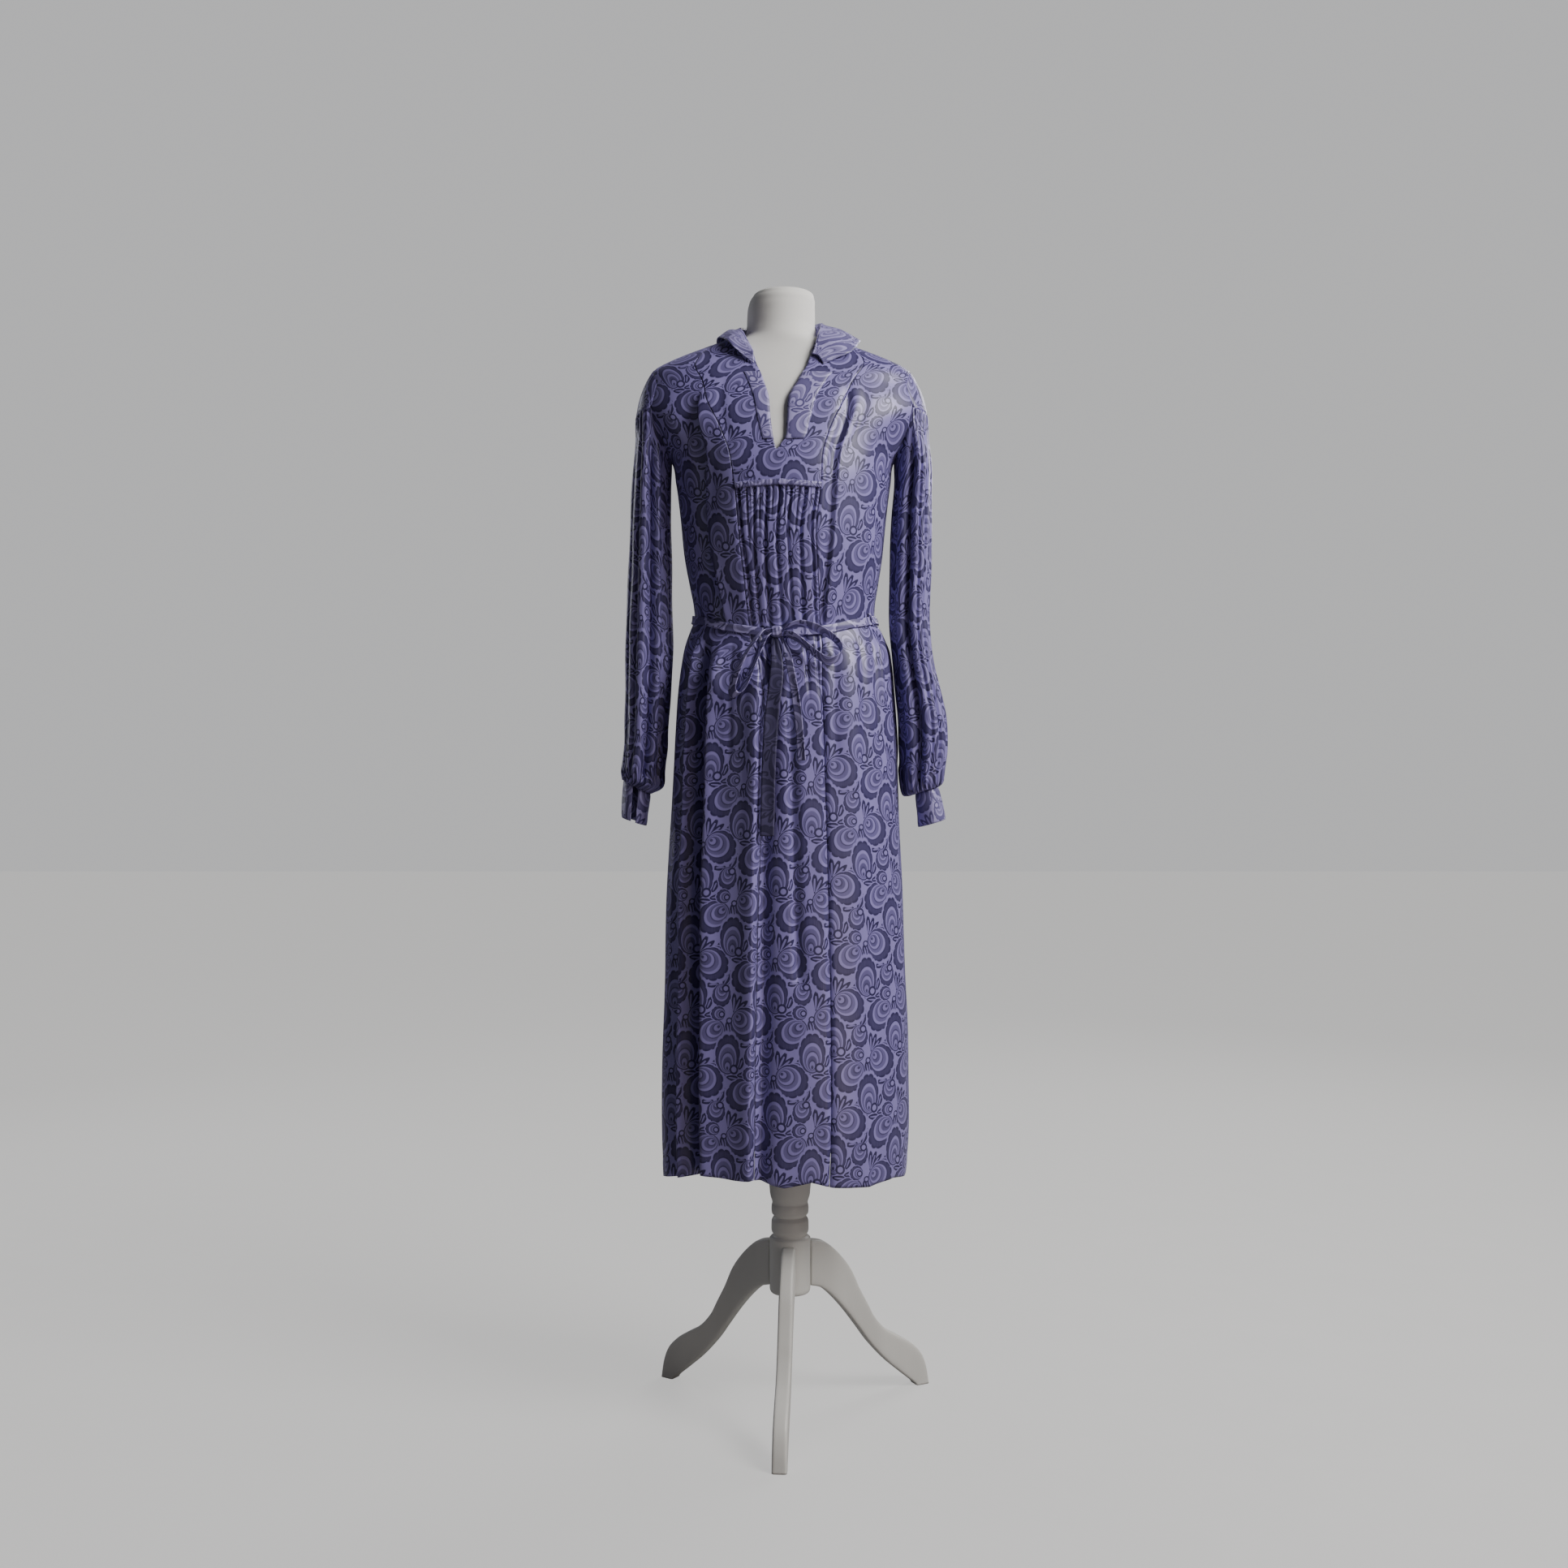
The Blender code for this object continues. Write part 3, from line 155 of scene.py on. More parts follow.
# Tucks: a crisp line down the cloth, sunk on its shaded side and raised on its lit side.
# Each has the line's height and angle, the two depths and the two spreads in degrees.
Tuck = namedtuple("Tuck", "line sunk raised sunkSpread raisedSpread")
tucks = (
    Tuck(((1.100, -36), (1.130, -38.5), (1.170, -42.5), (1.255, -46), (1.320, -42), (1.380, -35),
          (1.430, -29)), 0.0056, 0.0034, 10.0, 4.5),
    Tuck(((1.105, 23.5), (1.140, 24.2), (1.200, 26), (1.310, 26.6), (1.380, 26.4), (1.436, 25.3)),
         0.0040, 0.0022, 3.4, 5.0),
)
tuckLook = {"line": 0.55, "lowFade": 0.03, "highFade": 0.05}      # half width in degrees, metres

# Finer creases over the large folds, in the same columns.
fineCreases = (
    Fold(1.455, -21, 1.33, -24, 2.2, 2.4, -0.0014),
    Fold(1.440, 31, 1.33, 33, 2.0, 2.6, -0.0012),
    Fold(1.10, -30, 0.90, -27, 1.8, 2.2, -0.0022),
    Fold(1.10, -24, 0.98, -21, 1.6, 1.8, 0.0018),
    Fold(1.10, -17, 1.02, -17, 1.4, 1.6, -0.0016),
    Fold(1.10, 25, 0.90, 24, 2.2, 2.6, -0.0018),
    Fold(1.10, 43, 0.86, 41, 2.4, 3.0, -0.0020),
    Fold(1.10, 55, 0.93, 54, 2.6, 2.6, -0.0024),
    Fold(1.10, 64, 0.97, 61, 2.0, 2.4, 0.0020),
    Fold(1.10, 82, 0.95, 80, 2.6, 3.0, -0.0030),
    Fold(1.10, 92, 0.90, 92, 2.8, 3.0, 0.0022),
)


# Node helpers: a node with its settings, its sockets filled, and one sum.
def addNode(tree, kind, **settings):
    node = tree.nodes.new(kind)
    for key, value in settings.items():
        setattr(node, key, value)
    return node


# Each value is a number or a tuple, set on the socket, or another socket, linked to it.
def fill(tree, node, values):
    for key, value in values.items():
        if isinstance(value, (int, float, tuple)):
            node.inputs[key].default_value = value
        else:
            tree.links.new(value, node.inputs[key])
    return node


def calc(tree, operation, *values, clamp=False):
    node = addNode(tree, "ShaderNodeMath", operation=operation, use_clamp=clamp)
    return fill(tree, node, dict(enumerate(values))).outputs[0]


# 1 below start, 0 above end, with a soft step between.
def softEdge(tree, value, start, end):
    step = addNode(tree, "ShaderNodeMapRange", interpolation_type="SMOOTHSTEP")
    fill(tree, step, {"Value": value, "From Min": start, "From Max": end, "To Min": 1, "To Max": 0})
    return step.outputs["Result"]


# A node group with named inputs (name: default, vectors as tuples) and outputs.
def newGroup(name, inputs, outputs):
    tree = bpy.data.node_groups.new(name, "ShaderNodeTree")
    for word, value in inputs.items():
        kind = "NodeSocketVector" if isinstance(value, tuple) else "NodeSocketFloat"
        socket = tree.interface.new_socket(name=word, in_out="INPUT", socket_type=kind)
        socket.default_value = value
    for word, kind in outputs.items():
        tree.interface.new_socket(name=word, in_out="OUTPUT", socket_type="NodeSocket" + kind)
    return tree, tree.nodes.new("NodeGroupInput"), tree.nodes.new("NodeGroupOutput")


def useGroup(tree, group, **values):
    return fill(tree, addNode(tree, "ShaderNodeGroup", node_tree=group), values)


def splitVector(tree, vector):
    node = addNode(tree, "ShaderNodeSeparateXYZ")
    tree.links.new(vector, node.inputs[0])
    return node.outputs[0], node.outputs[1]


# The repeat in millimetres: columns this far apart, each a drop higher than the one before.
repeat = {"column": 51.3, "drop": 79.0, "height": 158.0}


# Where a point of the cloth lies in its nearest motif, in half widths and half lengths.
def makeMotifPlace():
    tree, given, put = newGroup("motifPlace", {"Cloth": (0.0, 0.0, 0.0), "Middle": (0.0, 0.0, 0.0),
                                               "Turn": (0.0, 0.0, 0.0), "Size": (1.0, 1.0, 1.0)},
                                {"Place": "Vector"})
    apart = addNode(tree, "ShaderNodeVectorMath", operation="SUBTRACT")
    fill(tree, apart, {0: given.outputs["Cloth"], 1: given.outputs["Middle"]})
    across, up = splitVector(tree, apart.outputs[0])
    column = calc(tree, "ROUND", calc(tree, "MULTIPLY", across, 1 / repeat["column"]))
    across = calc(tree, "MULTIPLY_ADD", column, -repeat["column"], across)
    up = calc(tree, "MULTIPLY_ADD", column, -repeat["drop"], up)
    up = calc(tree, "WRAP", up, repeat["height"] / 2, -repeat["height"] / 2)
    place = fill(tree, addNode(tree, "ShaderNodeCombineXYZ"), {0: across, 1: up})
    turn = addNode(tree, "ShaderNodeMapping", vector_type="TEXTURE")
    fill(tree, turn, {"Vector": place.outputs[0], "Rotation": given.outputs["Turn"],
                      "Scale": given.outputs["Size"]})
    fill(tree, put, {"Place": turn.outputs[0]})
    return tree


# Rings that crowd together towards the tail: ring s is a circle of radius s whose middle lies
# at lean * (s - 1) up the y axis. The outer, dark ring is frilled.
def makeBlossom():
    tree, given, put = newGroup("ringedBlossom", {"Place": (0.0, 0.0, 0.0), "Petals": 5.5},
                                {"Tone": "Float", "Cover": "Float"})
    lean = 0.76
    x, y = splitVector(tree, given.outputs["Place"])
    w = calc(tree, "ADD", y, lean)
    square = calc(tree, "MULTIPLY_ADD", w, w, calc(tree, "MULTIPLY", calc(tree, "MULTIPLY", x, x),
                                                   1 - lean**2))
    ring = calc(tree, "MULTIPLY", calc(tree, "MULTIPLY_ADD", w, -lean, calc(tree, "SQRT", square)),
                1 / (1 - lean**2))
    turn = calc(tree, "ARCTAN2", x, y)
    petals = calc(tree, "SINE", calc(tree, "MULTIPLY", turn, given.outputs["Petals"]))
    frill = calc(tree, "SQRT", calc(tree, "ABSOLUTE", petals))
    frilled = calc(tree, "MULTIPLY_ADD", frill, -0.075, ring)
    bands = addNode(tree, "ShaderNodeValToRGB")
    ramp = bands.color_ramp
    stops = ((0.0, 0.12), (0.08, 0.12), (0.11, 0.85), (0.20, 0.85), (0.23, 0.05), (0.28, 0.30),
             (0.36, 0.34), (0.39, 0.95), (0.47, 0.95), (0.50, 0.05), (0.54, 0.45), (0.64, 0.50),
             (0.67, 1.0), (0.74, 1.0), (0.77, 0.0), (0.81, 0.14), (0.93, 0.14), (1.0, 0.0))
    while len(ramp.elements) < len(stops):
        ramp.elements.new(1.0)
    for stop, (spot, tone) in zip(ramp.elements, stops):
        stop.color = (tone, tone, tone, 1)
    for i in reversed(range(len(stops))):
        ramp.elements[i].position = stops[i][0]
    fill(tree, bands, {"Fac": ring})
    tone = addNode(tree, "ShaderNodeMix", data_type="FLOAT")
    fill(tree, tone, {"Factor": softEdge(tree, frilled, 0.95, 0.99), "A": 1.0,
                      "B": bands.outputs["Color"]})
    fill(tree, put, {"Tone": tone.outputs["Result"], "Cover": softEdge(tree, frilled, 1.05, 1.11)})
    return tree


# A leaf from -1 to 1 along the y axis, its width a cosine, with a light vein and a light edge.
def makeLeaf():
    tree, given, put = newGroup("veinedLeaf", {"Place": (0.0, 0.0, 0.0), "Vein": 0.26},
                                {"Tone": "Float", "Cover": "Float"})
    x, y = splitVector(tree, given.outputs["Place"])
    swell = calc(tree, "COSINE", calc(tree, "MULTIPLY", y, np.pi / 2))
    width = calc(tree, "POWER", calc(tree, "MAXIMUM", swell, 0.0), 0.5)
    side = calc(tree, "ABSOLUTE", x)
    off = calc(tree, "SUBTRACT", side, width)
    dark = calc(tree, "MULTIPLY", softEdge(tree, off, -0.12, 0.0), calc(tree, "COMPARE", y, 0.0, 1.0))
    vein = calc(tree, "MULTIPLY", calc(tree, "MAXIMUM", swell, 0.0), given.outputs["Vein"])
    middle = calc(tree, "MULTIPLY", calc(tree, "LESS_THAN", side, vein),
                  calc(tree, "COMPARE", y, -0.1, 0.62))
    tone = calc(tree, "MULTIPLY_ADD", dark, -1.0, 1.0)
    tone = calc(tree, "MULTIPLY_ADD", calc(tree, "MULTIPLY", middle, dark), 0.8, tone, clamp=True)
    shown = calc(tree, "MULTIPLY", softEdge(tree, off, 0.15, 0.35), calc(tree, "COMPARE", y, 0.0, 1.12))
    fill(tree, put, {"Tone": tone, "Cover": shown})
    return tree


# Four petals side by side about the y axis: one leaf, repeated every so many radians.
def makeFan(leaf):
    tree, given, put = newGroup("petalFan", {"Place": (0.0, 0.0, 0.0)},
                                {"Tone": "Float", "Cover": "Float"})
    x, height = splitVector(tree, given.outputs["Place"])
    y = calc(tree, "ADD", height, 1.0)
    turn = calc(tree, "ARCTAN2", x, y)
    far = calc(tree, "SQRT", calc(tree, "MULTIPLY_ADD", x, x, calc(tree, "MULTIPLY", y, y)))
    near = calc(tree, "SUBTRACT", calc(tree, "WRAP", turn, 0.42, 0.0), 0.21)
    aside = calc(tree, "MULTIPLY", calc(tree, "MULTIPLY", near, far), 3.3)
    petal = addNode(tree, "ShaderNodeCombineXYZ")
    fill(tree, petal, {0: aside, 1: calc(tree, "SUBTRACT", far, 1.0)})
    one = useGroup(tree, leaf, Place=petal.outputs[0], Vein=0.32)
    between = calc(tree, "COMPARE", turn, 0.0, 0.84)
    fill(tree, put, {"Tone": one.outputs["Tone"],
                     "Cover": calc(tree, "MULTIPLY", one.outputs["Cover"], between)})
    return tree


# A light dot in a dark ring.
def makeDot():
    tree, given, put = newGroup("ringedDot", {"Place": (0.0, 0.0, 0.0)},
                                {"Tone": "Float", "Cover": "Float"})
    far = addNode(tree, "ShaderNodeVectorMath", operation="LENGTH")
    fill(tree, far, {0: given.outputs["Place"]})
    fill(tree, put, {"Tone": softEdge(tree, far.outputs["Value"], 0.55, 0.68),
                     "Cover": softEdge(tree, far.outputs["Value"], 1.0, 1.1)})
    return tree


# The charted repeat: kind, middle across and up, turn from straight up, half width and half length.
motifs = (
    ("leaf", 22, 43, 218, 7.0, 13), ("leaf", -30, 62, 182, 7.5, 12), ("leaf", 19, 27, 82, 5.6, 12),
    ("leaf", -37, -64, 125, 6.2, 14), ("leaf", 27, 68, 166, 5.2, 13), ("leaf", 33, 33, 150, 5.0, 10),
    ("leaf", -12, -74, 96, 4.4, 12), ("leaf", 2, -28, -96, 4.4, 9), ("leaf", 21, -20, 25, 4.8, 10),
    ("leaf", -2, -53, 20, 4.4, 9), ("leaf", 2, 90, 80, 4.2, 10),
    ("fan", -10, 24, 37, 14.5, 14.5),
    ("blossom", 0, 0, 125.8, 21.5, 22.5), ("blossom", 0, 63, -129.3, 20.5, 23.5),
    ("blossom", -23, -43, 0, 17.5, 26), ("blossom", 14.8, -42, 182, 12.5, 15),
    ("blossom", 11.3, -67, -78, 9.5, 9.5),
    ("dot", -24, 3, 0, 4.2, 4.2), ("dot", -13, -62, 0, 6.4, 6.4), ("dot", 16, -68, 0, 4.2, 4.2),
    ("dot", -31, 46, 0, 5.2, 5.2))


# The jacquard: each motif laid over the ones before it, on the light ground.
def makeJacquard():
    tree, given, put = newGroup("jacquardPattern", {"Cloth": (0.0, 0.0, 0.0)}, {"Tone": "Float"})
    place = makeMotifPlace()
    leaf = makeLeaf()
    kinds = {"leaf": leaf, "fan": makeFan(leaf), "blossom": makeBlossom(), "dot": makeDot()}
    millimetres = addNode(tree, "ShaderNodeVectorMath", operation="SCALE")
    fill(tree, millimetres, {0: given.outputs["Cloth"], "Scale": 1000})
    tone = 1.0                                     # the light ground
    for kind, across, up, turn, half, tall in motifs:
        there = useGroup(tree, place, Cloth=millimetres.outputs[0], Middle=(across, up, 0.0),
                         Turn=(0.0, 0.0, float(-np.radians(turn))), Size=(half, tall, 1.0))
        motif = useGroup(tree, kinds[kind], Place=there.outputs["Place"])
        over = addNode(tree, "ShaderNodeMix", data_type="FLOAT")
        fill(tree, over, {"Factor": motif.outputs["Cover"], "A": tone, "B": motif.outputs["Tone"]})
        tone = over.outputs["Result"]
    fill(tree, put, {"Tone": tone})
    return tree


# Satin's close diagonal floats and the slubs along its yarns, from the laid-out cloth in metres.
def makeWeave():
    tree, given, put = newGroup("satinWeave", {"Cloth": (0.0, 0.0, 0.0), "Threads": 2400.0},
                                {"Height": "Float", "Slub": "Float"})
    wave = addNode(tree, "ShaderNodeTexWave", wave_type="BANDS", bands_direction="DIAGONAL")
    scale = calc(tree, "MULTIPLY", given.outputs["Threads"], 0.16)
    fill(tree, wave, {"Vector": given.outputs["Cloth"], "Scale": scale, "Distortion": 1.5,
                      "Detail": 0})
    drawn = addNode(tree, "ShaderNodeMapping", vector_type="POINT")
    fill(tree, drawn, {"Vector": given.outputs["Cloth"], "Scale": (900, 26, 1)})
    noise = addNode(tree, "ShaderNodeTexNoise", noise_dimensions="2D")
    fill(tree, noise, {"Vector": drawn.outputs[0], "Scale": 1.0, "Detail": 2})
    fill(tree, put, {"Height": wave.outputs["Fac"], "Slub": noise.outputs["Fac"]})
    return tree


# Wear on a plain surface, from the place in metres: Shade is a slow uneven tone, 0 where a little
# dust or handling has dulled it, and Grain is the fine relief.
def makeWear():
    tree, given, put = newGroup("wear", {"Place": (0.0, 0.0, 0.0), "Coarse": 9.0, "Fine": 900.0},
                                {"Shade": "Float", "Grain": "Float"})
    slow, fine = addNode(tree, "ShaderNodeTexNoise"), addNode(tree, "ShaderNodeTexNoise")
    for noise, word in ((slow, "Coarse"), (fine, "Fine")):
        fill(tree, noise, {"Vector": given.outputs["Place"], "Scale": given.outputs[word]})
    fill(tree, slow, {"Detail": 4.0})
    fill(tree, put, {"Shade": softEdge(tree, slow.outputs["Fac"], 0.38, 0.62),
                     "Grain": fine.outputs["Fac"]})
    return tree


# An empty material: its node tree and its shader.
def newMaterial(name):
    made = bpy.data.materials.new(name)
    made.use_nodes = True
    return made, made.node_tree, made.node_tree.nodes["Principled BSDF"]


def addBump(tree, shader, height, strength, distance):
    bump = addNode(tree, "ShaderNodeBump")
    fill(tree, bump, {"Height": height, "Strength": strength, "Distance": distance})
    fill(tree, shader, {"Normal": bump.outputs["Normal"]})


wearLook = {"rougher": 0.12, "grainDepth": 0.0004}


# A plain surface: its colour a little darker and rougher where the wear lies, with a fine grain
# of so many grains a metre. draw stretches the grain along one axis, as brush marks are.
def plainMaterial(name, wear, colour, roughness, fine, grain, worn=0.93, draw=(1, 1, 1), metallic=0.0):
    made, tree, shader = newMaterial(name)
    place = addNode(tree, "ShaderNodeTexCoord")
    drawn = addNode(tree, "ShaderNodeMapping")
    fill(tree, drawn, {"Vector": place.outputs["Object"], "Scale": draw})
    worked = useGroup(tree, wear, Place=drawn.outputs["Vector"], Fine=fine)
    shade = addNode(tree, "ShaderNodeMix", data_type="RGBA")
    fill(tree, shade, {"Factor": worked.outputs["Shade"], "A": (*[c * worn for c in colour], 1),
                       "B": (*colour, 1)})
    rough = calc(tree, "MULTIPLY_ADD", worked.outputs["Shade"], -wearLook["rougher"],
                 roughness + wearLook["rougher"])
    fill(tree, shader, {"Base Color": shade.outputs["Result"], "Roughness": rough,
                        "Metallic": metallic})
    addBump(tree, shader, worked.outputs["Grain"], grain, wearLook["grainDepth"])
    return made


satinLook = {
    "motif": (0.036, 0.028, 0.098), "motifRoughness": 0.40,
    "ground": (0.31, 0.265, 0.60), "groundRoughness": 0.30,
    "slub": 0.16,             # how much a slub changes the tone
    "sheen": 0.35, "sheenRoughness": 0.35, "sheenTint": (0.66, 0.62, 1.0, 1),
    "floats": 0.12, "floatDepth": 0.0002,
}


# Jacquard satin: dull dark motifs on a bright ground, both drawn out along the yarns.
def satinMaterial(name, pattern, weave, look, **changes):
    look = {**look, **changes}
    made, tree, shader = newMaterial(name)
    cloth = addNode(tree, "ShaderNodeUVMap", uv_map="cloth")
    tone = useGroup(tree, pattern, Cloth=cloth.outputs["UV"]).outputs["Tone"]
    yarns = useGroup(tree, weave, Cloth=cloth.outputs["UV"])
    slub = calc(tree, "SUBTRACT", yarns.outputs["Slub"], 0.5)
    shifted = calc(tree, "MULTIPLY_ADD", slub, look["slub"], tone, clamp=True)
    colour = addNode(tree, "ShaderNodeMix", data_type="RGBA")
    fill(tree, colour, {"Factor": shifted, "A": (*look["motif"], 1), "B": (*look["ground"], 1)})
    rough = calc(tree, "MULTIPLY_ADD", shifted, look["groundRoughness"] - look["motifRoughness"],
                 look["motifRoughness"])
    fill(tree, shader, {"Base Color": colour.outputs["Result"], "Roughness": rough,
                        "Sheen Weight": look["sheen"], "Sheen Roughness": look["sheenRoughness"],
                        "Sheen Tint": look["sheenTint"]})
    addBump(tree, shader, yarns.outputs["Height"], look["floats"], look["floatDepth"])
    return made


jacquard = makeJacquard()
satinWeave = makeWeave()
satin = satinMaterial("satinJacquard", jacquard, satinWeave, satinLook)
# The trims' satin: fuller floats, and colours lifted above the dress's as a painted highlight that sets
# the trims off.
satinTrim = satinMaterial("satinTrim", jacquard, satinWeave, satinLook, floats=0.16,
                          motif=(0.10, 0.083, 0.22), ground=(0.42, 0.37, 0.70))
# A darker, rougher copy of the satin: painted shade for the bow's tail that hangs in shadow.
satinPaintedShade = satinMaterial("satinPaintedShade", jacquard, satinWeave, satinLook,
                             motif=(0.030, 0.025, 0.070), motifRoughness=0.6,
                             ground=(0.085, 0.072, 0.17), groundRoughness=0.55)
plainLooks = {
    "satinThread": {"colour": (0.20, 0.17, 0.40), "roughness": 0.45, "fine": 4000, "grain": 0.3},
    "whiteJersey": {"colour": (0.88, 0.87, 0.84), "roughness": 0.82, "fine": 1500, "grain": 0.35,
                    "worn": 0.95, "draw": (1, 1, 1.7)},
    "whitePaint": {"colour": (0.80, 0.79, 0.75), "roughness": 0.33, "fine": 240, "grain": 0.07,
                   "worn": 0.90, "draw": (1, 1, 0.12)},
    "dullSteel": {"colour": (0.55, 0.55, 0.56), "roughness": 0.28, "fine": 700, "grain": 0.08,
                  "worn": 0.9, "draw": (1, 1, 6), "metallic": 1.0},
}
wear = makeWear()
satinThread, jersey, whitePaint, dullSteel = [
    plainMaterial(name, wear, **look) for name, look in plainLooks.items()]
finishes = {"satin": satin, "satin_trim": satinTrim, "jersey": jersey, "painted_wood": whitePaint,
            "steel": dullSteel}


# A smooth cubic curve through the table's rows at the given values of its first column.
def smoothRows(table, keys):
    table = np.asarray(table, float)
    knots, values = table[:, 0], table[:, 1:]
    keys = np.asarray(keys, float)
    i = np.clip(np.searchsorted(knots, keys) - 1, 0, len(knots) - 2)
    step = (knots[i + 1] - knots[i])[..., None]
    t = np.clip((keys[..., None] - knots[i][..., None]) / step, 0, 1)
    slopes = np.gradient(values, knots, axis=0)
    return ((2*t**3 - 3*t**2 + 1) * values[i] + (t**3 - 2*t**2 + t) * step * slopes[i]
            + (3*t**2 - 2*t**3) * values[i + 1] + (t**3 - t**2) * step * slopes[i + 1])


# 0 before start, 1 after end, an even S between them.
def ease(value, start, end):
    t = np.clip((value - start) / (end - start), 0, 1)
    return t * t * (3 - 2 * t)


def signedPower(value, exponent):
    return np.sign(value) * np.abs(value) ** exponent


def turned(angle):
    return (angle + 180) % 360 - 180


# A bell of height 1 at 0.
def bell(off, spread):
    return np.exp(-(off / spread) ** 2)


# x, y of the rounded outline at this level: a superellipse, deeper in front than behind.
def ringPoint(table, angle, level):
    half, middle, front, behind, exponent = np.moveaxis(smoothRows(table, level), -1, 0)
    sine, cosine = np.sin(np.radians(angle)), np.cos(np.radians(angle))
    x = middle + half * signedPower(sine, 2 / exponent)
    y = -np.where(cosine > 0, front, behind) * signedPower(cosine, 2 / exponent)
    return x, y


# Each fold is a bell across and fades at its two ends; the belt presses all of them.
def foldRise(folds, angle, level):
    rise = np.zeros(np.broadcast(angle, level).shape)
    for fold in folds:
        along = np.clip((fold.top - level) / (fold.top - fold.low), 0, 1)
        off = turned(angle - fold.topAngle - along * (fold.lowAngle - fold.topAngle))
        spread = np.where(off < 0, fold.left, fold.right)
        fade = garment["foldFade"]
        ends = ease(fold.top - level, 0, fade) * ease(level - fold.low, 0, fade)
        rise = rise + fold.rise * ends * bell(off, spread)
    return rise * (1 - garment["waistHold"] * bell(level - garment["waist"], garment["waistReach"]))


# A tuck is a step across its line: a bell below the cloth on one side, a bell above it on the other.
def tuckRise(angle, level):
    rise = np.zeros(np.broadcast(angle, level).shape)
    for tuck in tucks:
        low, high = tuck.line[0][0], tuck.line[-1][0]
        off = turned(angle - smoothRows(tuck.line, np.clip(level, low, high))[..., 0])
        step = ease(off, -tuckLook["line"], tuckLook["line"])
        ends = (ease(level, low, low + tuckLook["lowFade"])
                * (1 - ease(level, high - tuckLook["highFade"], high)))
        rise = rise + ends * (step * tuck.raised * bell(off, tuck.raisedSpread)
                              - (1 - step) * tuck.sunk * bell(off, tuck.sunkSpread))
    return rise


# Slow uneven waves, a sum of sines, so that no stretch of satin is quite even.
def satinWaves(angle, level):
    turn = np.radians(angle)
    wave = (0.45 * np.sin(7 * turn + 9 * level + 0.6) + 0.35 * np.sin(13 * turn - 16 * level + 2.1)
            + 0.25 * np.sin(23 * turn + 27 * level + 4.0) * np.sin(11 * level + 1.0)
            + 0.30 * np.sin(4 * turn + 34 * level + 1.7) * np.sin(9 * turn + 0.4))
    skirt = ease(garment["waist"] - level, 0, 0.25)
    return garment["waveDepth"] * wave * (0.55 + 0.45 * skirt)


# The real height: the hem waves, the belt line dips in front, the band comes to a slight peak.
def heightOf(angle, level):
    cosine = np.clip(np.cos(np.radians(angle)), 0, 1)
    knots = np.array(hemWave)
    hem = np.interp(turned(angle), knots[:, 0], knots[:, 1]) * (
        1 - ease(level, garment["hem"], garment["waveTop"]))
    dip = garment["waistDip"] * cosine**2.5 * bell(level - garment["waist"], garment["dipReach"])
    off = np.abs(angle - garment["peakAngle"])
    peak = garment["bandPeak"] * np.clip(1 - off / garment["peakHalf"], 0, 1)
    return level + hem - dip + peak * bell(level - garment["band"], garment["peakReach"])


# A point of the garment's outside: the outline, moved along its angle by out, folds and waves.
def bodyPoint(angle, level, out=0.0, folded=1.0):
    angle, level = np.broadcast_arrays(np.asarray(angle, float), np.asarray(level, float))
    x, y = ringPoint(bodyRows, angle, level)
    relief = foldRise(largeFolds, angle, level) + foldRise(fineCreases, angle, level)
    relief = relief + tuckRise(angle, level)
    turnUp = garment["hem"] + garment["hemDeep"]
    relief = relief + garment["hemProud"] * (
        1 - ease(level, turnUp - garment["hemEdge"], turnUp + garment["hemEdge"]))
    small = satinWaves(angle, level) * (1 - ease(level, *garment["shoulders"]))
    reach = out + folded * (relief + small)
    x = x + reach * np.sin(np.radians(angle)) + formAxis[0]
    y = y - reach * np.cos(np.radians(angle)) + formAxis[1]
    return np.stack([x, y, heightOf(angle, level)], axis=-1)


armhole = {
    "front": 0.050, "back": 0.046,     # half depths of its oval
    "gap": 0.0002,
    "gatherSeam": 1.403, "seamTilt": 0.004, "seamRound": 2.2,
    "seamEnds": (80, 92),     # the gather seam passes into the armhole between these angles
    "capReach": 0.0245, "capCorner": 87,
}
armholeMiddle = 0.5 * (garment["underarm"] + garment["shoulderTip"])
armholeHalf = 0.5 * (garment["shoulderTip"] - garment["underarm"])


# The angle where a panel ends: the side seam, the armhole's edge or the shoulder seam.
def armholeAngle(level, side):
    across = np.clip(1 - ((level - armholeMiddle) / armholeHalf) ** 2, 0, 1)
    shape = smoothRows(bodyRows, level)
    depth = shape[..., 2 if side == "front" else 3]
    cosine = (armhole[side] * np.sqrt(across) / depth) ** (shape[..., 4] / 2)
    return np.degrees(np.arccos(np.clip(cosine, 0, 1)))


# A point of the armhole's edge, at this angle from the shoulder tip towards the front.
def armholePoint(angle, side):
    turn = np.radians(angle)
    level = armholeMiddle + armholeHalf * np.cos(turn)
    front = np.sin(turn) > 0
    y = -np.where(front, armhole["front"], armhole["back"]) * np.sin(turn)
    shape = smoothRows(bodyRows, level)
    depth = np.where(front, shape[..., 2], shape[..., 3])
    cosine = (np.abs(y) / depth) ** (shape[..., 4] / 2)
    sine = np.sqrt(np.clip(1 - cosine**2, 0, 1))
    x = shape[..., 1] + side * shape[..., 0] * sine ** (2 / shape[..., 4])
    return np.stack([x + side * armhole["gap"] + formAxis[0], y + formAxis[1], level], axis=-1)


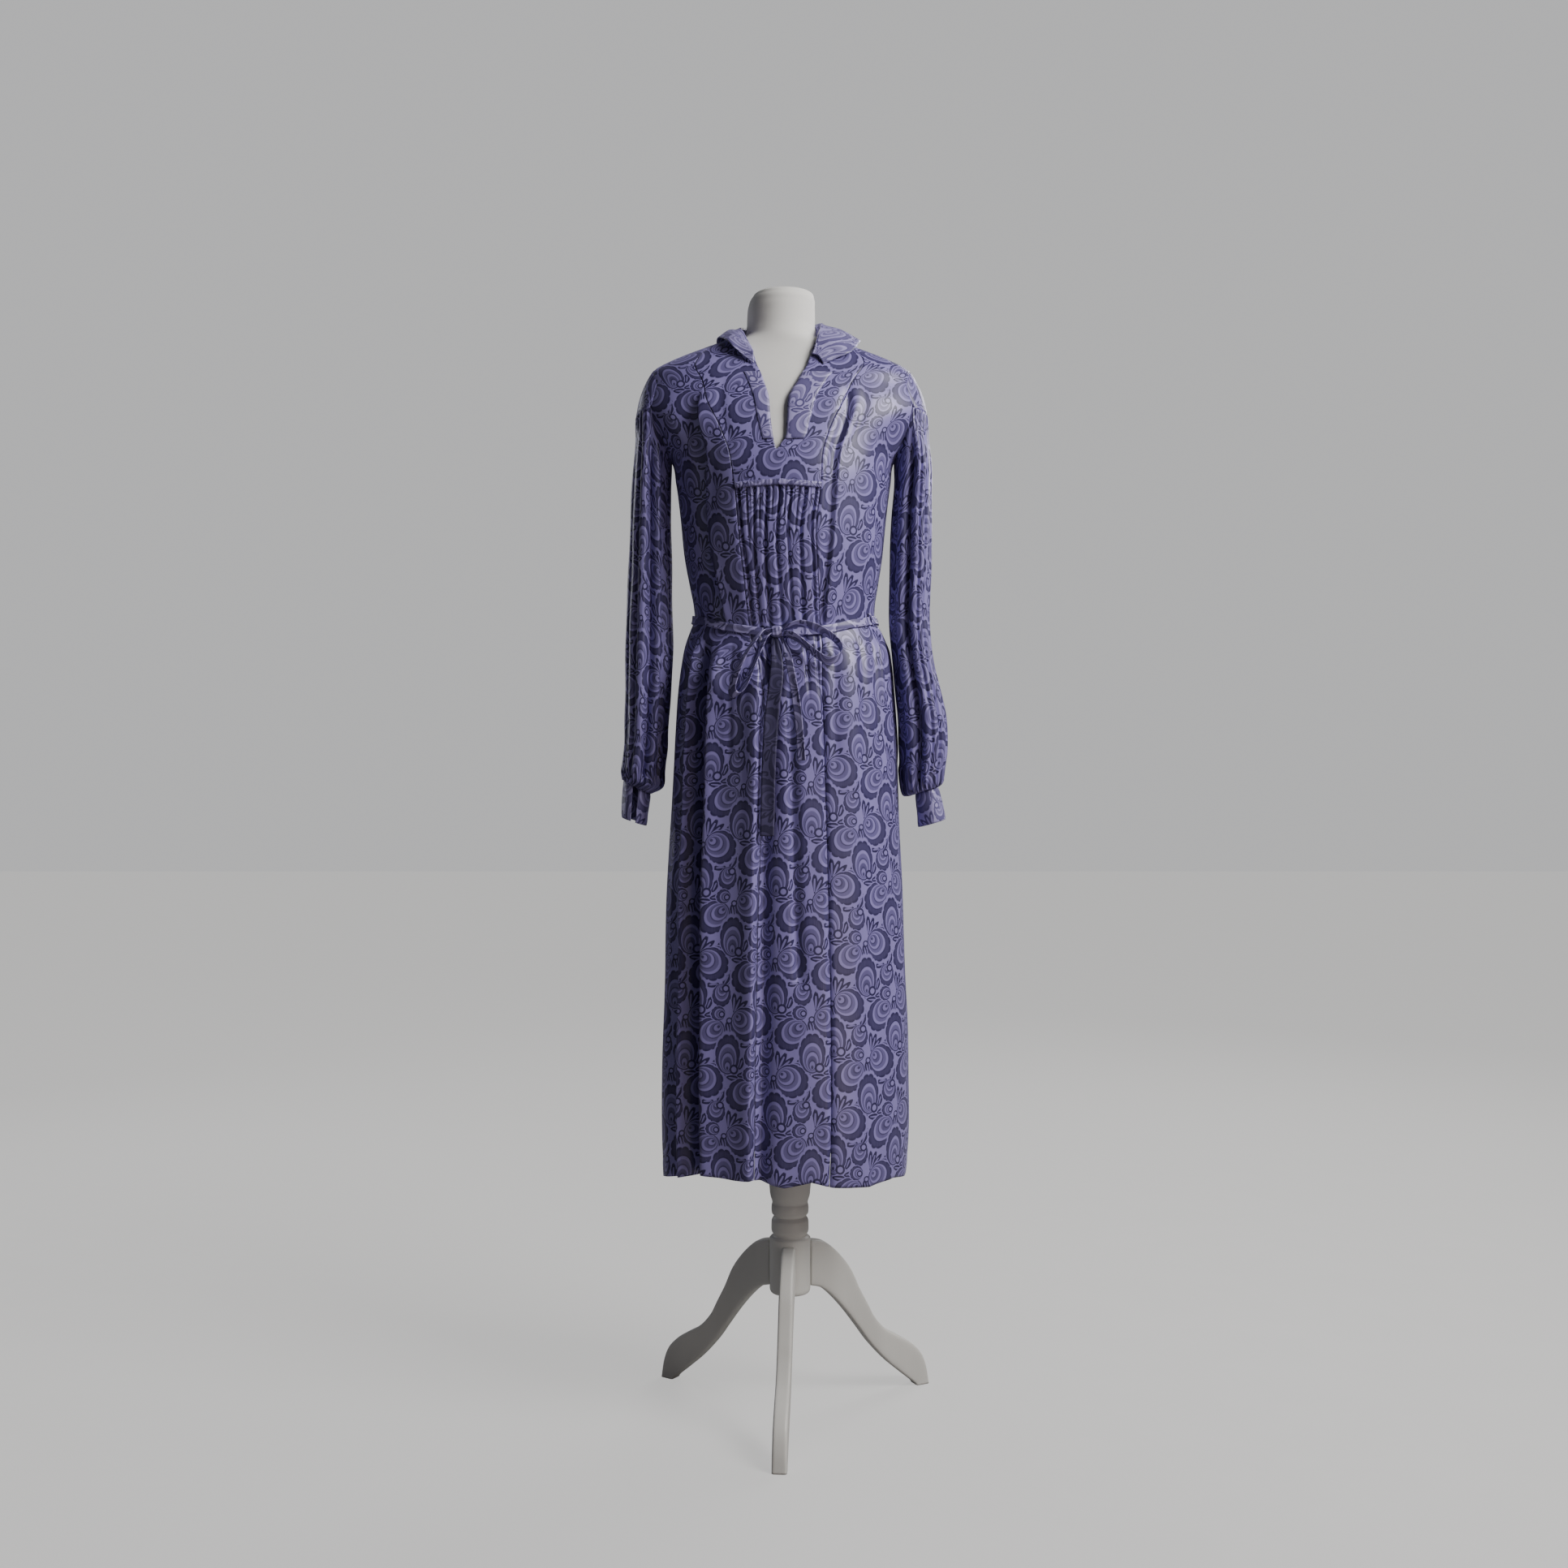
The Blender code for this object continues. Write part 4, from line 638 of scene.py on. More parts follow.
# The sleeve's upper edge: the gather seam over the arm, the armhole under it.
def sleeveSeam(angle, side):
    turn = np.radians(angle)
    under = armholePoint(angle, side)
    brow = armholePoint(np.sign(np.sin(turn)) * armhole["capCorner"], side)
    outer = under.copy()
    outer[..., 0] = brow[..., 0] + side * armhole["capReach"] * np.sqrt(
        np.clip(1 - np.abs(np.sin(turn)) ** armhole["seamRound"], 0, 1))
    outer[..., 2] = armhole["gatherSeam"] - armhole["seamTilt"] * np.cos(turn)
    share = ease(np.abs(turned(angle)), *armhole["seamEnds"])[..., None]
    return outer * (1 - share) + under * share


# The corners of each face of a grid, to the left as seen from outside.
def cells(corner):
    return np.stack([corner[..., :-1, :-1], corner[..., :-1, 1:], corner[..., 1:, 1:],
                     corner[..., 1:, :-1]], axis=-1)


def addObject(name, data):
    made = bpy.data.objects.new(name, data)
    bpy.context.scene.collection.objects.link(made)
    return made


# A grid of points as a mesh. Columns run to the right and rows run up, seen from outside.
# flat holds the same grid laid out flat, in metres: it becomes the piece's UV map.
def addGrid(name, points, flat, closed=False, wall=0.0, slot="satin"):
    rows, columns = points.shape[:2]
    corner = np.arange(rows * columns).reshape(rows, columns)
    if closed:
        corner = np.concatenate([corner, corner[:, :1]], axis=1)
    flatCorner = cells(np.arange(rows * flat.shape[1]).reshape(rows, -1))
    return addFaces(name, points.reshape(-1, 3), cells(corner).reshape(-1, 4),
                    flat.reshape(-1, 2)[flatCorner.reshape(-1)], wall, slot)


def addFaces(name, points, quads, loopFlat=None, wall=0.0, slot="satin", finish=None):
    mesh = bpy.data.meshes.new(name)
    used, index = np.unique(quads, return_inverse=True)
    mesh.vertices.add(len(used))
    mesh.vertices.foreach_set("co", points[used].astype(np.float32).ravel())
    mesh.loops.add(quads.size)
    mesh.loops.foreach_set("vertex_index", index.astype(np.int32).ravel())
    mesh.polygons.add(len(quads))
    mesh.polygons.foreach_set("loop_start", np.arange(0, quads.size, quads.shape[1], dtype=np.int32))
    mesh.update(calc_edges=True)
    mesh.validate()
    if loopFlat is not None:
        layer = mesh.uv_layers.new(name="cloth")
        layer.data.foreach_set("uv", np.asarray(loopFlat, np.float32).ravel())
    mesh.shade_smooth()
    mesh.materials.append(finish or finishes[slot])
    piece = addObject(name, mesh)
    if wall:
        thick = piece.modifiers.new("wall", "SOLIDIFY")
        thick.thickness = wall
        thick.offset = -1
    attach(piece, "root")
    return piece


# Outward direction at each point of a grid: the cross product of its two directions.
def gridOut(points):
    out = np.cross(np.gradient(points, axis=1), np.gradient(points, axis=0))
    return out / np.maximum(np.linalg.norm(out, axis=-1, keepdims=True), 1e-9)


# The row at this distance from a grid's first row, measured up each column.
def rowAt(points, distance):
    step = np.linalg.norm(np.diff(points, axis=0), axis=-1)
    length = np.concatenate([np.zeros((1, points.shape[1])), np.cumsum(step, axis=0)])
    low = np.clip((length < distance).sum(axis=0) - 1, 0, len(points) - 2)
    column = np.arange(points.shape[1])
    share = (distance - length[low, column]) / (length[low + 1, column] - length[low, column])
    return points[low, column] + (points[low + 1, column] - points[low, column]) * share[:, None]


# A ball of quads: the six sides of a cube, their points blown out to a superellipsoid.
def ballGrid(count, power):
    share = np.tan(np.linspace(-0.25, 0.25, count) * np.pi)
    u, v = np.meshgrid(share, share)
    sides = []
    for axis in range(3):
        for sign in (-1, 1):
            side = np.empty(u.shape + (3,))
            side[..., axis] = sign
            side[..., (axis + 1) % 3] = u if sign > 0 else v
            side[..., (axis + 2) % 3] = v if sign > 0 else u
            sides.append(side)
    sides = np.array(sides)
    corner = np.arange(sides[..., 0].size).reshape(sides.shape[:3])
    quads = cells(corner).reshape(-1, 4)
    points = sides.reshape(-1, 3)
    _, first, index = np.unique(points.round(6), axis=0, return_index=True, return_inverse=True)
    points, quads = points[first], index.reshape(-1)[quads]
    return points / (np.abs(points) ** power).sum(axis=1, keepdims=True) ** (1 / power), quads


thread = {"length": 0.0023, "gap": 0.0010, "thick": 0.0005, "proud": 0.0001,
          "hemLength": 0.0013, "hemGap": 0.0058, "count": 3, "power": 2.6}


def alongPath(length, values, keys):
    return np.stack([np.interp(keys, length, values[:, i]) for i in range(3)], axis=-1)


# Stitches: small balls drawn out along each path, at even steps of its length. Each keeps its
# long axis on the path and its third axis on the cloth's outward direction.
def addStitches(piece, paths, stitch=thread["length"], gap=thread["gap"]):
    ball, quads = ballGrid(thread["count"], thread["power"])
    rows = []
    for path, out in paths:
        step = np.linalg.norm(np.diff(path, axis=0), axis=1)
        length = np.concatenate([[0], np.cumsum(step)])
        count = max(int(length[-1] / (stitch + gap)), 1)
        spot = (np.arange(count) + 0.5) * length[-1] / count
        run = (alongPath(length, path, spot + 0.5 * stitch)
               - alongPath(length, path, spot - 0.5 * stitch))
        up = alongPath(length, out, spot)
        side = np.cross(up, run)
        side /= np.linalg.norm(side, axis=1)[:, None]
        up = np.cross(run, side)
        up /= np.linalg.norm(up, axis=1)[:, None]
        middle = alongPath(length, path, spot) + up * thread["proud"]
        half = 0.5 * thread["thick"]
        rows.append(middle[:, None] + ball[None, :, :1] * 0.5 * run[:, None]
                    + half * (ball[None, :, 1:2] * side[:, None] + ball[None, :, 2:] * up[:, None]))
    points = np.concatenate(rows)
    faces = quads[None] + np.arange(len(points))[:, None, None] * len(ball)
    return addFaces(piece.name + "Stitches", points.reshape(-1, 3), faces.reshape(-1, 4),
                    slot="satin_trim", finish=satinThread)


# Every point lies in two rows and two columns, so a panel between two edges is a blend of them.
def panelGrid(left, right, levels, columns):
    across = np.linspace(0, 1, columns)
    return left[:, None] + (right - left)[:, None] * across, levels[:, None] + 0 * across


# The cloth turns in along both of its edges, which leaves the fine groove of a seam.
def seamTurn(distance, share=1.0):
    return -share * garment["seamDitch"] * bell(distance, garment["seamReach"])


# The seam allowance: an edge carried inwards, towards the form's axis.
def seamAllowance(edge):
    inner = edge.copy()
    inner[..., :2] = np.array(formAxis) + (edge[..., :2] - np.array(formAxis)) * garment["allowance"]
    return inner


# Length along each row, from its first point.
def lengthAcross(points):
    step = np.linalg.norm(np.diff(points, axis=1), axis=-1)
    return np.concatenate([np.zeros((len(points), 1)), np.cumsum(step, axis=1)], axis=1)


# The cloth laid flat: across is the length along the row from one column, up is the length up
# that column. start is the place on the bolt that the piece was cut from.
def layFlat(points, column, start):
    across = lengthAcross(points)
    up = np.linalg.norm(np.diff(points[:, column], axis=0), axis=-1)
    up = np.concatenate([[0], np.cumsum(up)])[:, None] + 0 * across
    return np.stack([across - across[:, column:column + 1] + start[0], up + start[1]], axis=-1)


# A panel over a grid of angles and levels; relief moves it out, and edges says which sides are sewn.
def addPanel(name, angle, level, relief=0.0, column=0, start=(0.0, 0.0), edges=(1, 1)):
    along = lengthAcross(bodyPoint(angle, level, relief))
    low, high = panels["flatReach"]
    share = 1 - panels["flatSeams"] * ease(level, garment["band"] - low, garment["band"] + high)
    turnIn = edges[0] * seamTurn(along, share) + edges[1] * seamTurn(along[:, -1:] - along, share)
    points = bodyPoint(angle, level, relief + turnIn)
    piece = addGrid(name, points, layFlat(points, column, start), wall=garment["wall"])
    row = int(garment["hemDeep"] / garment["rowStep"]) + 1      # the hem's picks
    addStitches(piece, [(points[row, 3:-3], gridOut(points)[row, 3:-3])],
                thread["hemLength"], thread["hemGap"])
    return piece


panels = {
    "seamGap": 0.00015,       # half the gap between two pieces at a seam
    "flatSeams": 0.90,        # the bodice's seams lie this much flatter than the skirt's
    "flatReach": (0.01, 0.03),     # the change starts this far under the band and ends above it
    "frontColumns": 118, "backColumns": 130, "centreColumns": 120, "bibColumns": 34,
    "bibLowRows": 14, "bibHighRows": 56,
    "boltStart": {"left": (0.031, 0.022), "right": (0.478, 0.071), "back": (0.255, 0.040),
                  "centre": (0.160, 0.095), "bib": (0.160, 1.061)},
}


def seamAngle(level):
    return np.degrees(panels["seamGap"] / smoothRows(bodyRows, level)[..., 2])


# Even heights from the hem up to this one, less a gap at its seam.
def levelsTo(top, gap=0.0):
    return np.linspace(garment["hem"], top - gap, int((top - garment["hem"]) / garment["rowStep"]))


def addSideFronts():
    level = levelsTo(garment["neckline"])
    outer, seam, gap = armholeAngle(level, "front"), smoothRows(frontSeams, level), seamAngle(level)
    made = []
    for word, left, right in (("left", -outer + gap, seam[:, 0] - gap),
                              ("right", seam[:, 1] + gap, outer - gap)):
        angle, height = panelGrid(left, right, level, panels["frontColumns"])
        column = panels["frontColumns"] // 2
        piece = addPanel("sideFront" + word.title(), angle, height, column=column,
                         start=panels["boltStart"][word])
        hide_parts("side_front_" + word)
        made.append(piece)
    return made


def addBack():
    level = levelsTo(garment["neckline"])
    outer, gap = armholeAngle(level, "back"), seamAngle(level)
    angle, height = panelGrid(180 - outer + gap, 180 + outer - gap, level, panels["backColumns"])
    piece = addPanel("backPanel", angle, height, column=panels["backColumns"] // 2,
                     start=panels["boltStart"]["back"])
    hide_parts("back")
    return piece


# Gathers under the band: place across the panel at the band and at the belt, depth, spread
# across the panel, and the height where it has died out.
Gather = namedtuple("Gather", "top low depth spread end")
gathers = (
    Gather(0.045, 0.060, 0.0058, 0.022, 0.99), Gather(0.150, 0.115, 0.0026, 0.015, 1.19),
    Gather(0.247, 0.170, 0.0044, 0.021, 0.99), Gather(0.320, 0.235, 0.0028, 0.014, 1.21),
    Gather(0.400, 0.315, 0.0058, 0.024, 0.99), Gather(0.470, 0.395, 0.0026, 0.014, 1.23),
    Gather(0.544, 0.475, 0.0052, 0.020, 1.02), Gather(0.600, 0.545, 0.0024, 0.013, 1.22),
    Gather(0.656, 0.600, 0.0040, 0.018, 1.10), Gather(0.745, 0.680, 0.0028, 0.015, 1.20),
    Gather(0.825, 0.745, 0.0054, 0.024, 0.99), Gather(0.955, 0.930, 0.0052, 0.022, 0.99),
)
gatherLook = {
    "fade": 0.05, "wander": 0.006, "start": 0.72, "widen": 0.55,     # spreads grow from start
    "shallower": 0.3,         # a gather loses this share of its depth on its way down
    "beltHold": 0.5, "beltReach": 0.015,
    "puckers": 29, "puckerDepth": 0.0012, "puckerLength": 0.055,
}


# Each gather is a narrow trough that widens on its way down. Between them, small puckers start
# at the band and die out within a few centimetres.
def gatherRise(across, level):
    down = ease(garment["band"] - level, 0, garment["band"] - garment["waist"])
    rise = np.zeros(np.broadcast(across, level).shape)
    for gather in gathers:
        middle = gather.top + (gather.low - gather.top) * down
        middle = middle + (gatherLook["wander"] * np.sin(38 * level + 40 * gather.top)
                           * (1 - down) * down * 4)
        lasts = ease(level, gather.end, gather.end + gatherLook["fade"])
        spread = gather.spread * (gatherLook["start"] + gatherLook["widen"] * down)
        depth = gather.depth * lasts * (1 - gatherLook["shallower"] * down)
        rise = rise - depth * bell(across - middle, spread)
    hold = 1 - gatherLook["beltHold"] * bell(level - garment["waist"], gatherLook["beltReach"])
    fade = 1 - ease(garment["band"] - level, 0.0, gatherLook["puckerLength"])
    near = 0.5 + 0.5 * np.cos(2 * np.pi * gatherLook["puckers"] * across + 3 * np.sin(9 * across))
    uneven = 0.7 + 0.3 * np.sin(37 * across + 1)
    return rise * hold - gatherLook["puckerDepth"] * near * uneven * fade


def addCentre():
    level = levelsTo(garment["band"], panels["seamGap"])
    seam, gap = smoothRows(frontSeams, level), seamAngle(level)
    left, right = seam[:, 0] + gap, seam[:, 1] - gap
    angle, height = panelGrid(left, right, level, panels["centreColumns"])
    across = np.linspace(0, 1, panels["centreColumns"])[None, :]
    piece = addPanel("frontCentre", angle, height, gatherRise(across, height),
                     column=panels["centreColumns"] // 2, start=panels["boltStart"]["centre"])
    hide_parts("front_centre")
    return piece


# Two halves that part at the V slit and share one column below its point.
def addBib():
    point = slitRows[0][0]
    low = np.linspace(garment["band"] + panels["seamGap"], point, panels["bibLowRows"])
    high = np.linspace(point, garment["neckline"], panels["bibHighRows"])[1:]
    level = np.concatenate([low, high])
    half = panels["bibColumns"]
    seam, gap = smoothRows(frontSeams, level), seamAngle(level)
    edge = smoothRows(slitRows, np.maximum(level, point))
    middle = np.where(level <= point, edge.mean(axis=1), 0)
    leftEdge = np.where(level <= point, middle, edge[:, 0])
    rightEdge = np.where(level <= point, middle, edge[:, 1])
    across = np.linspace(0, 1, half)
    left = (seam[:, 0] + gap)[:, None] * (1 - across) + leftEdge[:, None] * across
    right = rightEdge[:, None] * (1 - across) + (seam[:, 1] - gap)[:, None] * across
    angle = np.concatenate([left, right], axis=1)
    height = level[:, None] + 0 * angle
    along = lengthAcross(bodyPoint(angle, height))
    share = 1 - panels["flatSeams"]
    relief = seamTurn(along, share) + seamTurn(along[:, -1:] - along, share)
    points = bodyPoint(angle, height, relief)
    flat = layFlat(points, half, panels["boltStart"]["bib"])
    corner = np.arange(points[..., 0].size).reshape(points.shape[:2])
    flatCorner = corner.copy()
    corner[:len(low), half] = corner[:len(low), half - 1]
    keep = np.delete(np.arange(2 * half - 1), half - 1)
    quads = [cells(grid)[:, keep] for grid in (corner, flatCorner)]
    piece = addFaces("bib", points.reshape(-1, 3), quads[0].reshape(-1, 4),
                     flat.reshape(-1, 2)[quads[1].reshape(-1)], garment["wall"])
    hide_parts("front_bib")
    out = gridOut(points)                          # a few stitches hold each side seam above the band
    addStitches(piece, [(points[1:11, 1], out[1:11, 1]), (points[1:11, -2], out[1:11, -2])])
    return piece


trim = {
    "wall": 0.0009, "laid": 0.0017,               # how high a strip lies on the cloth
    "edgeDrop": 0.9, "edgePower": 6,
    "bandHalf": 0.0042, "bandColumns": 90, "bandRows": 9, "bandExtra": 0.0004,
    "bandEnds": (0.8, 0.3),   # degrees past each of the front seams
    "pull": 0.00035, "pulls": 190,                # small dents where the gathers pull at it
    "neckWidths": (0.009, 0.016), "neckHeights": (1.347, 1.447), "neckRows": 40, "neckColumns": 11,
}


# A narrow strip's section: level in the middle and turned down to the cloth at both edges.
def stripRelief(across, laid):
    return laid - trim["edgeDrop"] * laid * np.abs(2 * across - 1) ** trim["edgePower"]


def addBibBand():
    seam = smoothRows(frontSeams, np.array([garment["band"]]))[0]
    ends = seam[0] + trim["bandEnds"][0], seam[1] + trim["bandEnds"][1]
    angle = np.linspace(*ends, trim["bandColumns"])[None, :]
    across = np.linspace(0, 1, trim["bandRows"])[:, None]
    level = garment["band"] + (2 * across - 1) * trim["bandHalf"]
    pull = trim["pull"] * np.cos(np.radians(angle) * trim["pulls"]) * np.sin(np.pi * across)
    points = bodyPoint(angle, level, stripRelief(across, trim["laid"] + trim["bandExtra"]) + pull)
    piece = addGrid("bibBand", points, layFlat(points, trim["bandColumns"] // 2, (0.02, 0.31)),
                    wall=trim["wall"], slot="satin_trim")
    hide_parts("bib_band")
    out = gridOut(points)
    addStitches(piece, [(points[1], out[1]), (points[-2], out[-2])])
    return piece


def addNeckBands():
    level = np.linspace(*trim["neckHeights"], trim["neckRows"])
    edge, shape = smoothRows(slitRows, level), smoothRows(bodyRows, level)
    made = []
    for word, column, width, side in (("left", 0, trim["neckWidths"][0], -1),
                                      ("right", 1, trim["neckWidths"][1], 1)):
        inner = edge[:, column]
        outer = inner + side * np.degrees(width / shape[:, 2])
        left, right = (outer, inner) if side < 0 else (inner, outer)
        angle, height = panelGrid(left, right, level, trim["neckColumns"])
        across = np.linspace(0, 1, trim["neckColumns"])[None, :]
        points = bodyPoint(angle, height, stripRelief(across, trim["laid"]))
        piece = addGrid("neckBand" + word.title(), points, layFlat(points, 5, (0.4, 0.2 * column)),
                        wall=trim["wall"], slot="satin_trim")
        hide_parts("neck_band_" + word)
        sewn = -2 if column else 1                 # its outer edge
        addStitches(piece, [(points[:, sewn], gridOut(points)[:, sewn])])
        made.append(piece)
    return made


# Rows on a smooth curve through a short stack of rows: the same table rule, for whole rows.
def smoothStack(stack, count):
    place = np.arange(len(stack), dtype=float)
    table = np.column_stack([place, stack.reshape(len(stack), -1)])
    return smoothRows(table, np.linspace(0, len(stack) - 1, count)).reshape(count, *stack.shape[1:])


# A grid of the left side runs the other way round, so that it faces out.
def facing(grid, side):
    return grid if side > 0 else grid[:, ::-1]


# A sleeve's sections: height, x of the outer side, x of the inner side, half depth. x is positive
# on both sides. Its pleats: angle from outside towards the front, spread in degrees, depth.
Pleat = namedtuple("Pleat", "angle spread depth")
Ring = namedtuple("Ring", "x halfWidth halfDepth height tilt")
sleeves = {
    "right": {
        "side": 1,
        "sections": (
            (1.372, 0.2080, 0.1620, 0.0520), (1.330, 0.2095, 0.1600, 0.0520),
            (1.290, 0.2095, 0.1545, 0.0500), (1.190, 0.2092, 0.1500, 0.0470),
            (1.100, 0.2070, 0.1495, 0.0450), (1.060, 0.2115, 0.1530, 0.0450),
            (1.015, 0.2220, 0.1575, 0.0460), (0.967, 0.2310, 0.1610, 0.0480),
            (0.930, 0.2315, 0.1625, 0.0480), (0.898, 0.2265, 0.1630, 0.0460),
        ),
        "pleats": (
            Pleat(26, 4.5, 0.0035), Pleat(52, 4.5, 0.0050), Pleat(74, 4, 0.0045),
            Pleat(106, 11, 0.0150), Pleat(150, 9, 0.0040), Pleat(-152, 9, 0.0040),
            Pleat(-112, 9, 0.0060), Pleat(-72, 8, 0.0060), Pleat(-32, 8, 0.0035),
        ),
        "blouse": Ring(0.1968, 0.0272, 0.0390, 0.876, 0.010),
        "cuffTop": Ring(0.2023, 0.0166, 0.0290, 0.874, 0.0046),
        "cuffEnd": Ring(0.2092, 0.0198, 0.0310, 0.8268, 0.0057),
        "open": None,
    },
    "left": {
        "side": -1,
        "sections": (
            (1.372, 0.2108, 0.1630, 0.0520), (1.330, 0.2128, 0.1620, 0.0520),
            (1.280, 0.2160, 0.1600, 0.0500), (1.190, 0.2195, 0.1585, 0.0480),
            (1.100, 0.2235, 0.1570, 0.0460), (1.060, 0.2245, 0.1570, 0.0460),
            (1.000, 0.2250, 0.1610, 0.0460), (0.950, 0.2260, 0.1640, 0.0460),
            (0.923, 0.2280, 0.1660, 0.0450), (0.900, 0.2300, 0.1690, 0.0440),
        ),
        "pleats": (
            Pleat(28, 5, 0.0035), Pleat(58, 5, 0.0050), Pleat(100, 12, 0.0140),
            Pleat(134, 6, 0.0040), Pleat(158, 5, 0.0030), Pleat(-150, 9, 0.0040),
            Pleat(-112, 9, 0.0060), Pleat(-72, 8, 0.0060), Pleat(-32, 8, 0.0035),
        ),
        "blouse": Ring(0.2000, 0.0280, 0.0380, 0.884, 0.006),
        "cuffTop": Ring(0.2080, 0.0195, 0.0290, 0.8780, 0.0100),
        "cuffEnd": Ring(0.2120, 0.0180, 0.0300, 0.8290, 0.0060),
        "open": (80, 104),
    },
}
sleeveLook = {
    "columns": 168, "rows": 128, "girth": 0.30,
    "pleatStart": 0.04, "settled": 0.16,      # shares of the length
    "topGathers": 34, "topDepth": 0.0013, "cuffGathers": 30, "cuffDepth": 0.0021,
    "dentDepth": 0.0006,
    "creases": 4, "creaseDepth": 0.0016,      # half the number of long creases
    # Where along the sleeve its sections are taken, closer together near its two ends.
    "sections": (0.0002, 0.02, 0.04, 0.06, 0.09, 0.12, 0.16, 0.21, 0.26, 0.32, 0.38, 0.44, 0.50,
                 0.56, 0.61, 0.66, 0.71, 0.76, 0.80, 0.84, 0.88, 0.91, 0.94, 0.97, 1.0),
}


def pleatDepth(pleats, angle):
    depth = np.zeros(np.shape(angle))
    for pleat in pleats:
        depth = depth + pleat.depth * bell(turned(angle - pleat.angle), pleat.spread)
    return depth


def ringOf(ring, angle, side):
    turn = np.radians(angle)
    x = formAxis[0] + side * (ring.x + ring.halfWidth * np.cos(turn))
    y = formAxis[1] - ring.halfDepth * np.sin(turn)
    return np.stack([x, y, ring.height + ring.tilt * np.cos(turn)], axis=-1)


# A point of the sleeve: along is 0 at the gather seam and 1 at the lowest section. Below the
# seam it passes from the seam's own outline to the ellipse of the sections, pressed by the pleats.
def sleevePoint(shape, angle, along):
    side, sections = shape["side"], shape["sections"]
    top = sleeveSeam(angle, side)
    height = top[..., 2] + (sections[-1][0] - top[..., 2]) * along
    keys = np.minimum(height, sections[0][0])
    outer, inner, depth = np.moveaxis(smoothRows(sections[::-1], keys), -1, 0)
    turn = np.radians(angle)
    start = ease(along, 0.0, sleeveLook["pleatStart"])
    pleat = pleatDepth(shape["pleats"], angle) * start
    half = 0.5 * (outer - inner)
    x = side * (0.5 * (outer + inner) + half * np.cos(turn) * (1 - pleat / half))
    y = -depth * np.sin(turn) * (1 - pleat / depth)
    spot = np.stack([x + formAxis[0], y + formAxis[1], height], axis=-1)
    settled = ease(along, 0.0, sleeveLook["settled"])[..., None]
    drop = np.stack(np.broadcast_arrays(top[..., 0], top[..., 1], height), axis=-1)
    return drop * (1 - settled) + spot * settled


# Outward direction of a closed tube's grid: from the middle of each row, level.
def tubeOut(points):
    middle = points[:, :-1].mean(axis=1, keepdims=True)
    out = points - middle
    out[..., 2] = 0
    return out / np.maximum(np.linalg.norm(out, axis=-1, keepdims=True), 1e-6)


# Gathers at both ends of the sleeve, uneven in spacing and depth, slow dents between, and long
# narrow creases that run down it and drift a little.
def sleeveRipple(angle, along, side):
    turn = np.radians(angle)
    over = np.clip(1.25 * np.cos(turn) + 0.35, 0, 1)
    top = np.cos(sleeveLook["topGathers"] * turn + 2.5 * np.sin(3 * turn)) * over
    top = top * ease(along, 0, 0.012) * (1 - ease(along, 0.03, 0.17))
    cuff = np.cos(sleeveLook["cuffGathers"] * turn + 2.0 * np.sin(2 * turn + side))
    cuff = cuff * ease(along, 0.87, 0.975) * (1 - 0.5 * ease(along, 0.985, 1.0))
    slow = (np.sin(3 * turn + 21 * along + side) * np.sin(17 * along + 2 * turn)
            + 0.6 * np.sin(5 * turn - 33 * along) * np.sin(9 * along + 1.3))
    slow = slow * ease(along, 0.05, 0.3) * (1 - ease(along, 0.9, 1.0))
    drift = 0.5 * np.sin(5 * along + side) + 0.35 * np.sin(2 * turn + 1)
    long = (1 - np.abs(np.sin(sleeveLook["creases"] * turn + drift))) ** 5
    long = long * ease(along, 0.10, 0.30) * (1 - 0.6 * ease(along, 0.84, 0.97))
    return (sleeveLook["topDepth"] * top + sleeveLook["cuffDepth"] * cuff
            + sleeveLook["dentDepth"] * slow - sleeveLook["creaseDepth"] * long)


def addSleeve(word):
    shape = sleeves[word]
    side = shape["side"]
    angle = np.linspace(0, 360, sleeveLook["columns"] + 1)
    stack = sleevePoint(shape, angle[None, :], np.array(sleeveLook["sections"])[:, None])
    ends = [ringOf(shape[end], angle, side)[None] for end in ("blouse", "cuffTop")]
    stack = np.concatenate([stack] + ends, axis=0)
    grid = smoothStack(stack, sleeveLook["rows"])
    along = np.linspace(0, 1, sleeveLook["rows"])[:, None]
    ripple = sleeveRipple(angle[None, :], along, side)[..., None]
    grid = grid + ripple * tubeOut(grid)
    grid = np.concatenate([seamAllowance(grid[:1]), grid])[::-1]
    up = lengthAcross(np.swapaxes(grid, 0, 1)[:1])[0]
    flat = np.stack(np.broadcast_arrays(side * angle[None, :] / 360 * sleeveLook["girth"] + 0.5,
                                        up[:, None] + 0.3 * side), axis=-1)
    piece = addGrid("sleeve" + word.title(), facing(grid[:, :-1], -side),
                    facing(flat, -side), closed=True, wall=garment["wall"])
    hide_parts("sleeve_" + word)
    return piece


capLook = {"reach": 84.3, "columns": 60, "rows": 22, "tall": 0.06, "swell": 0.0045,
           "lowerSeam": 0.4,      # how far it turns in there, as a share of the armhole's seam
           "out": (0.9, 0, 0.43)}


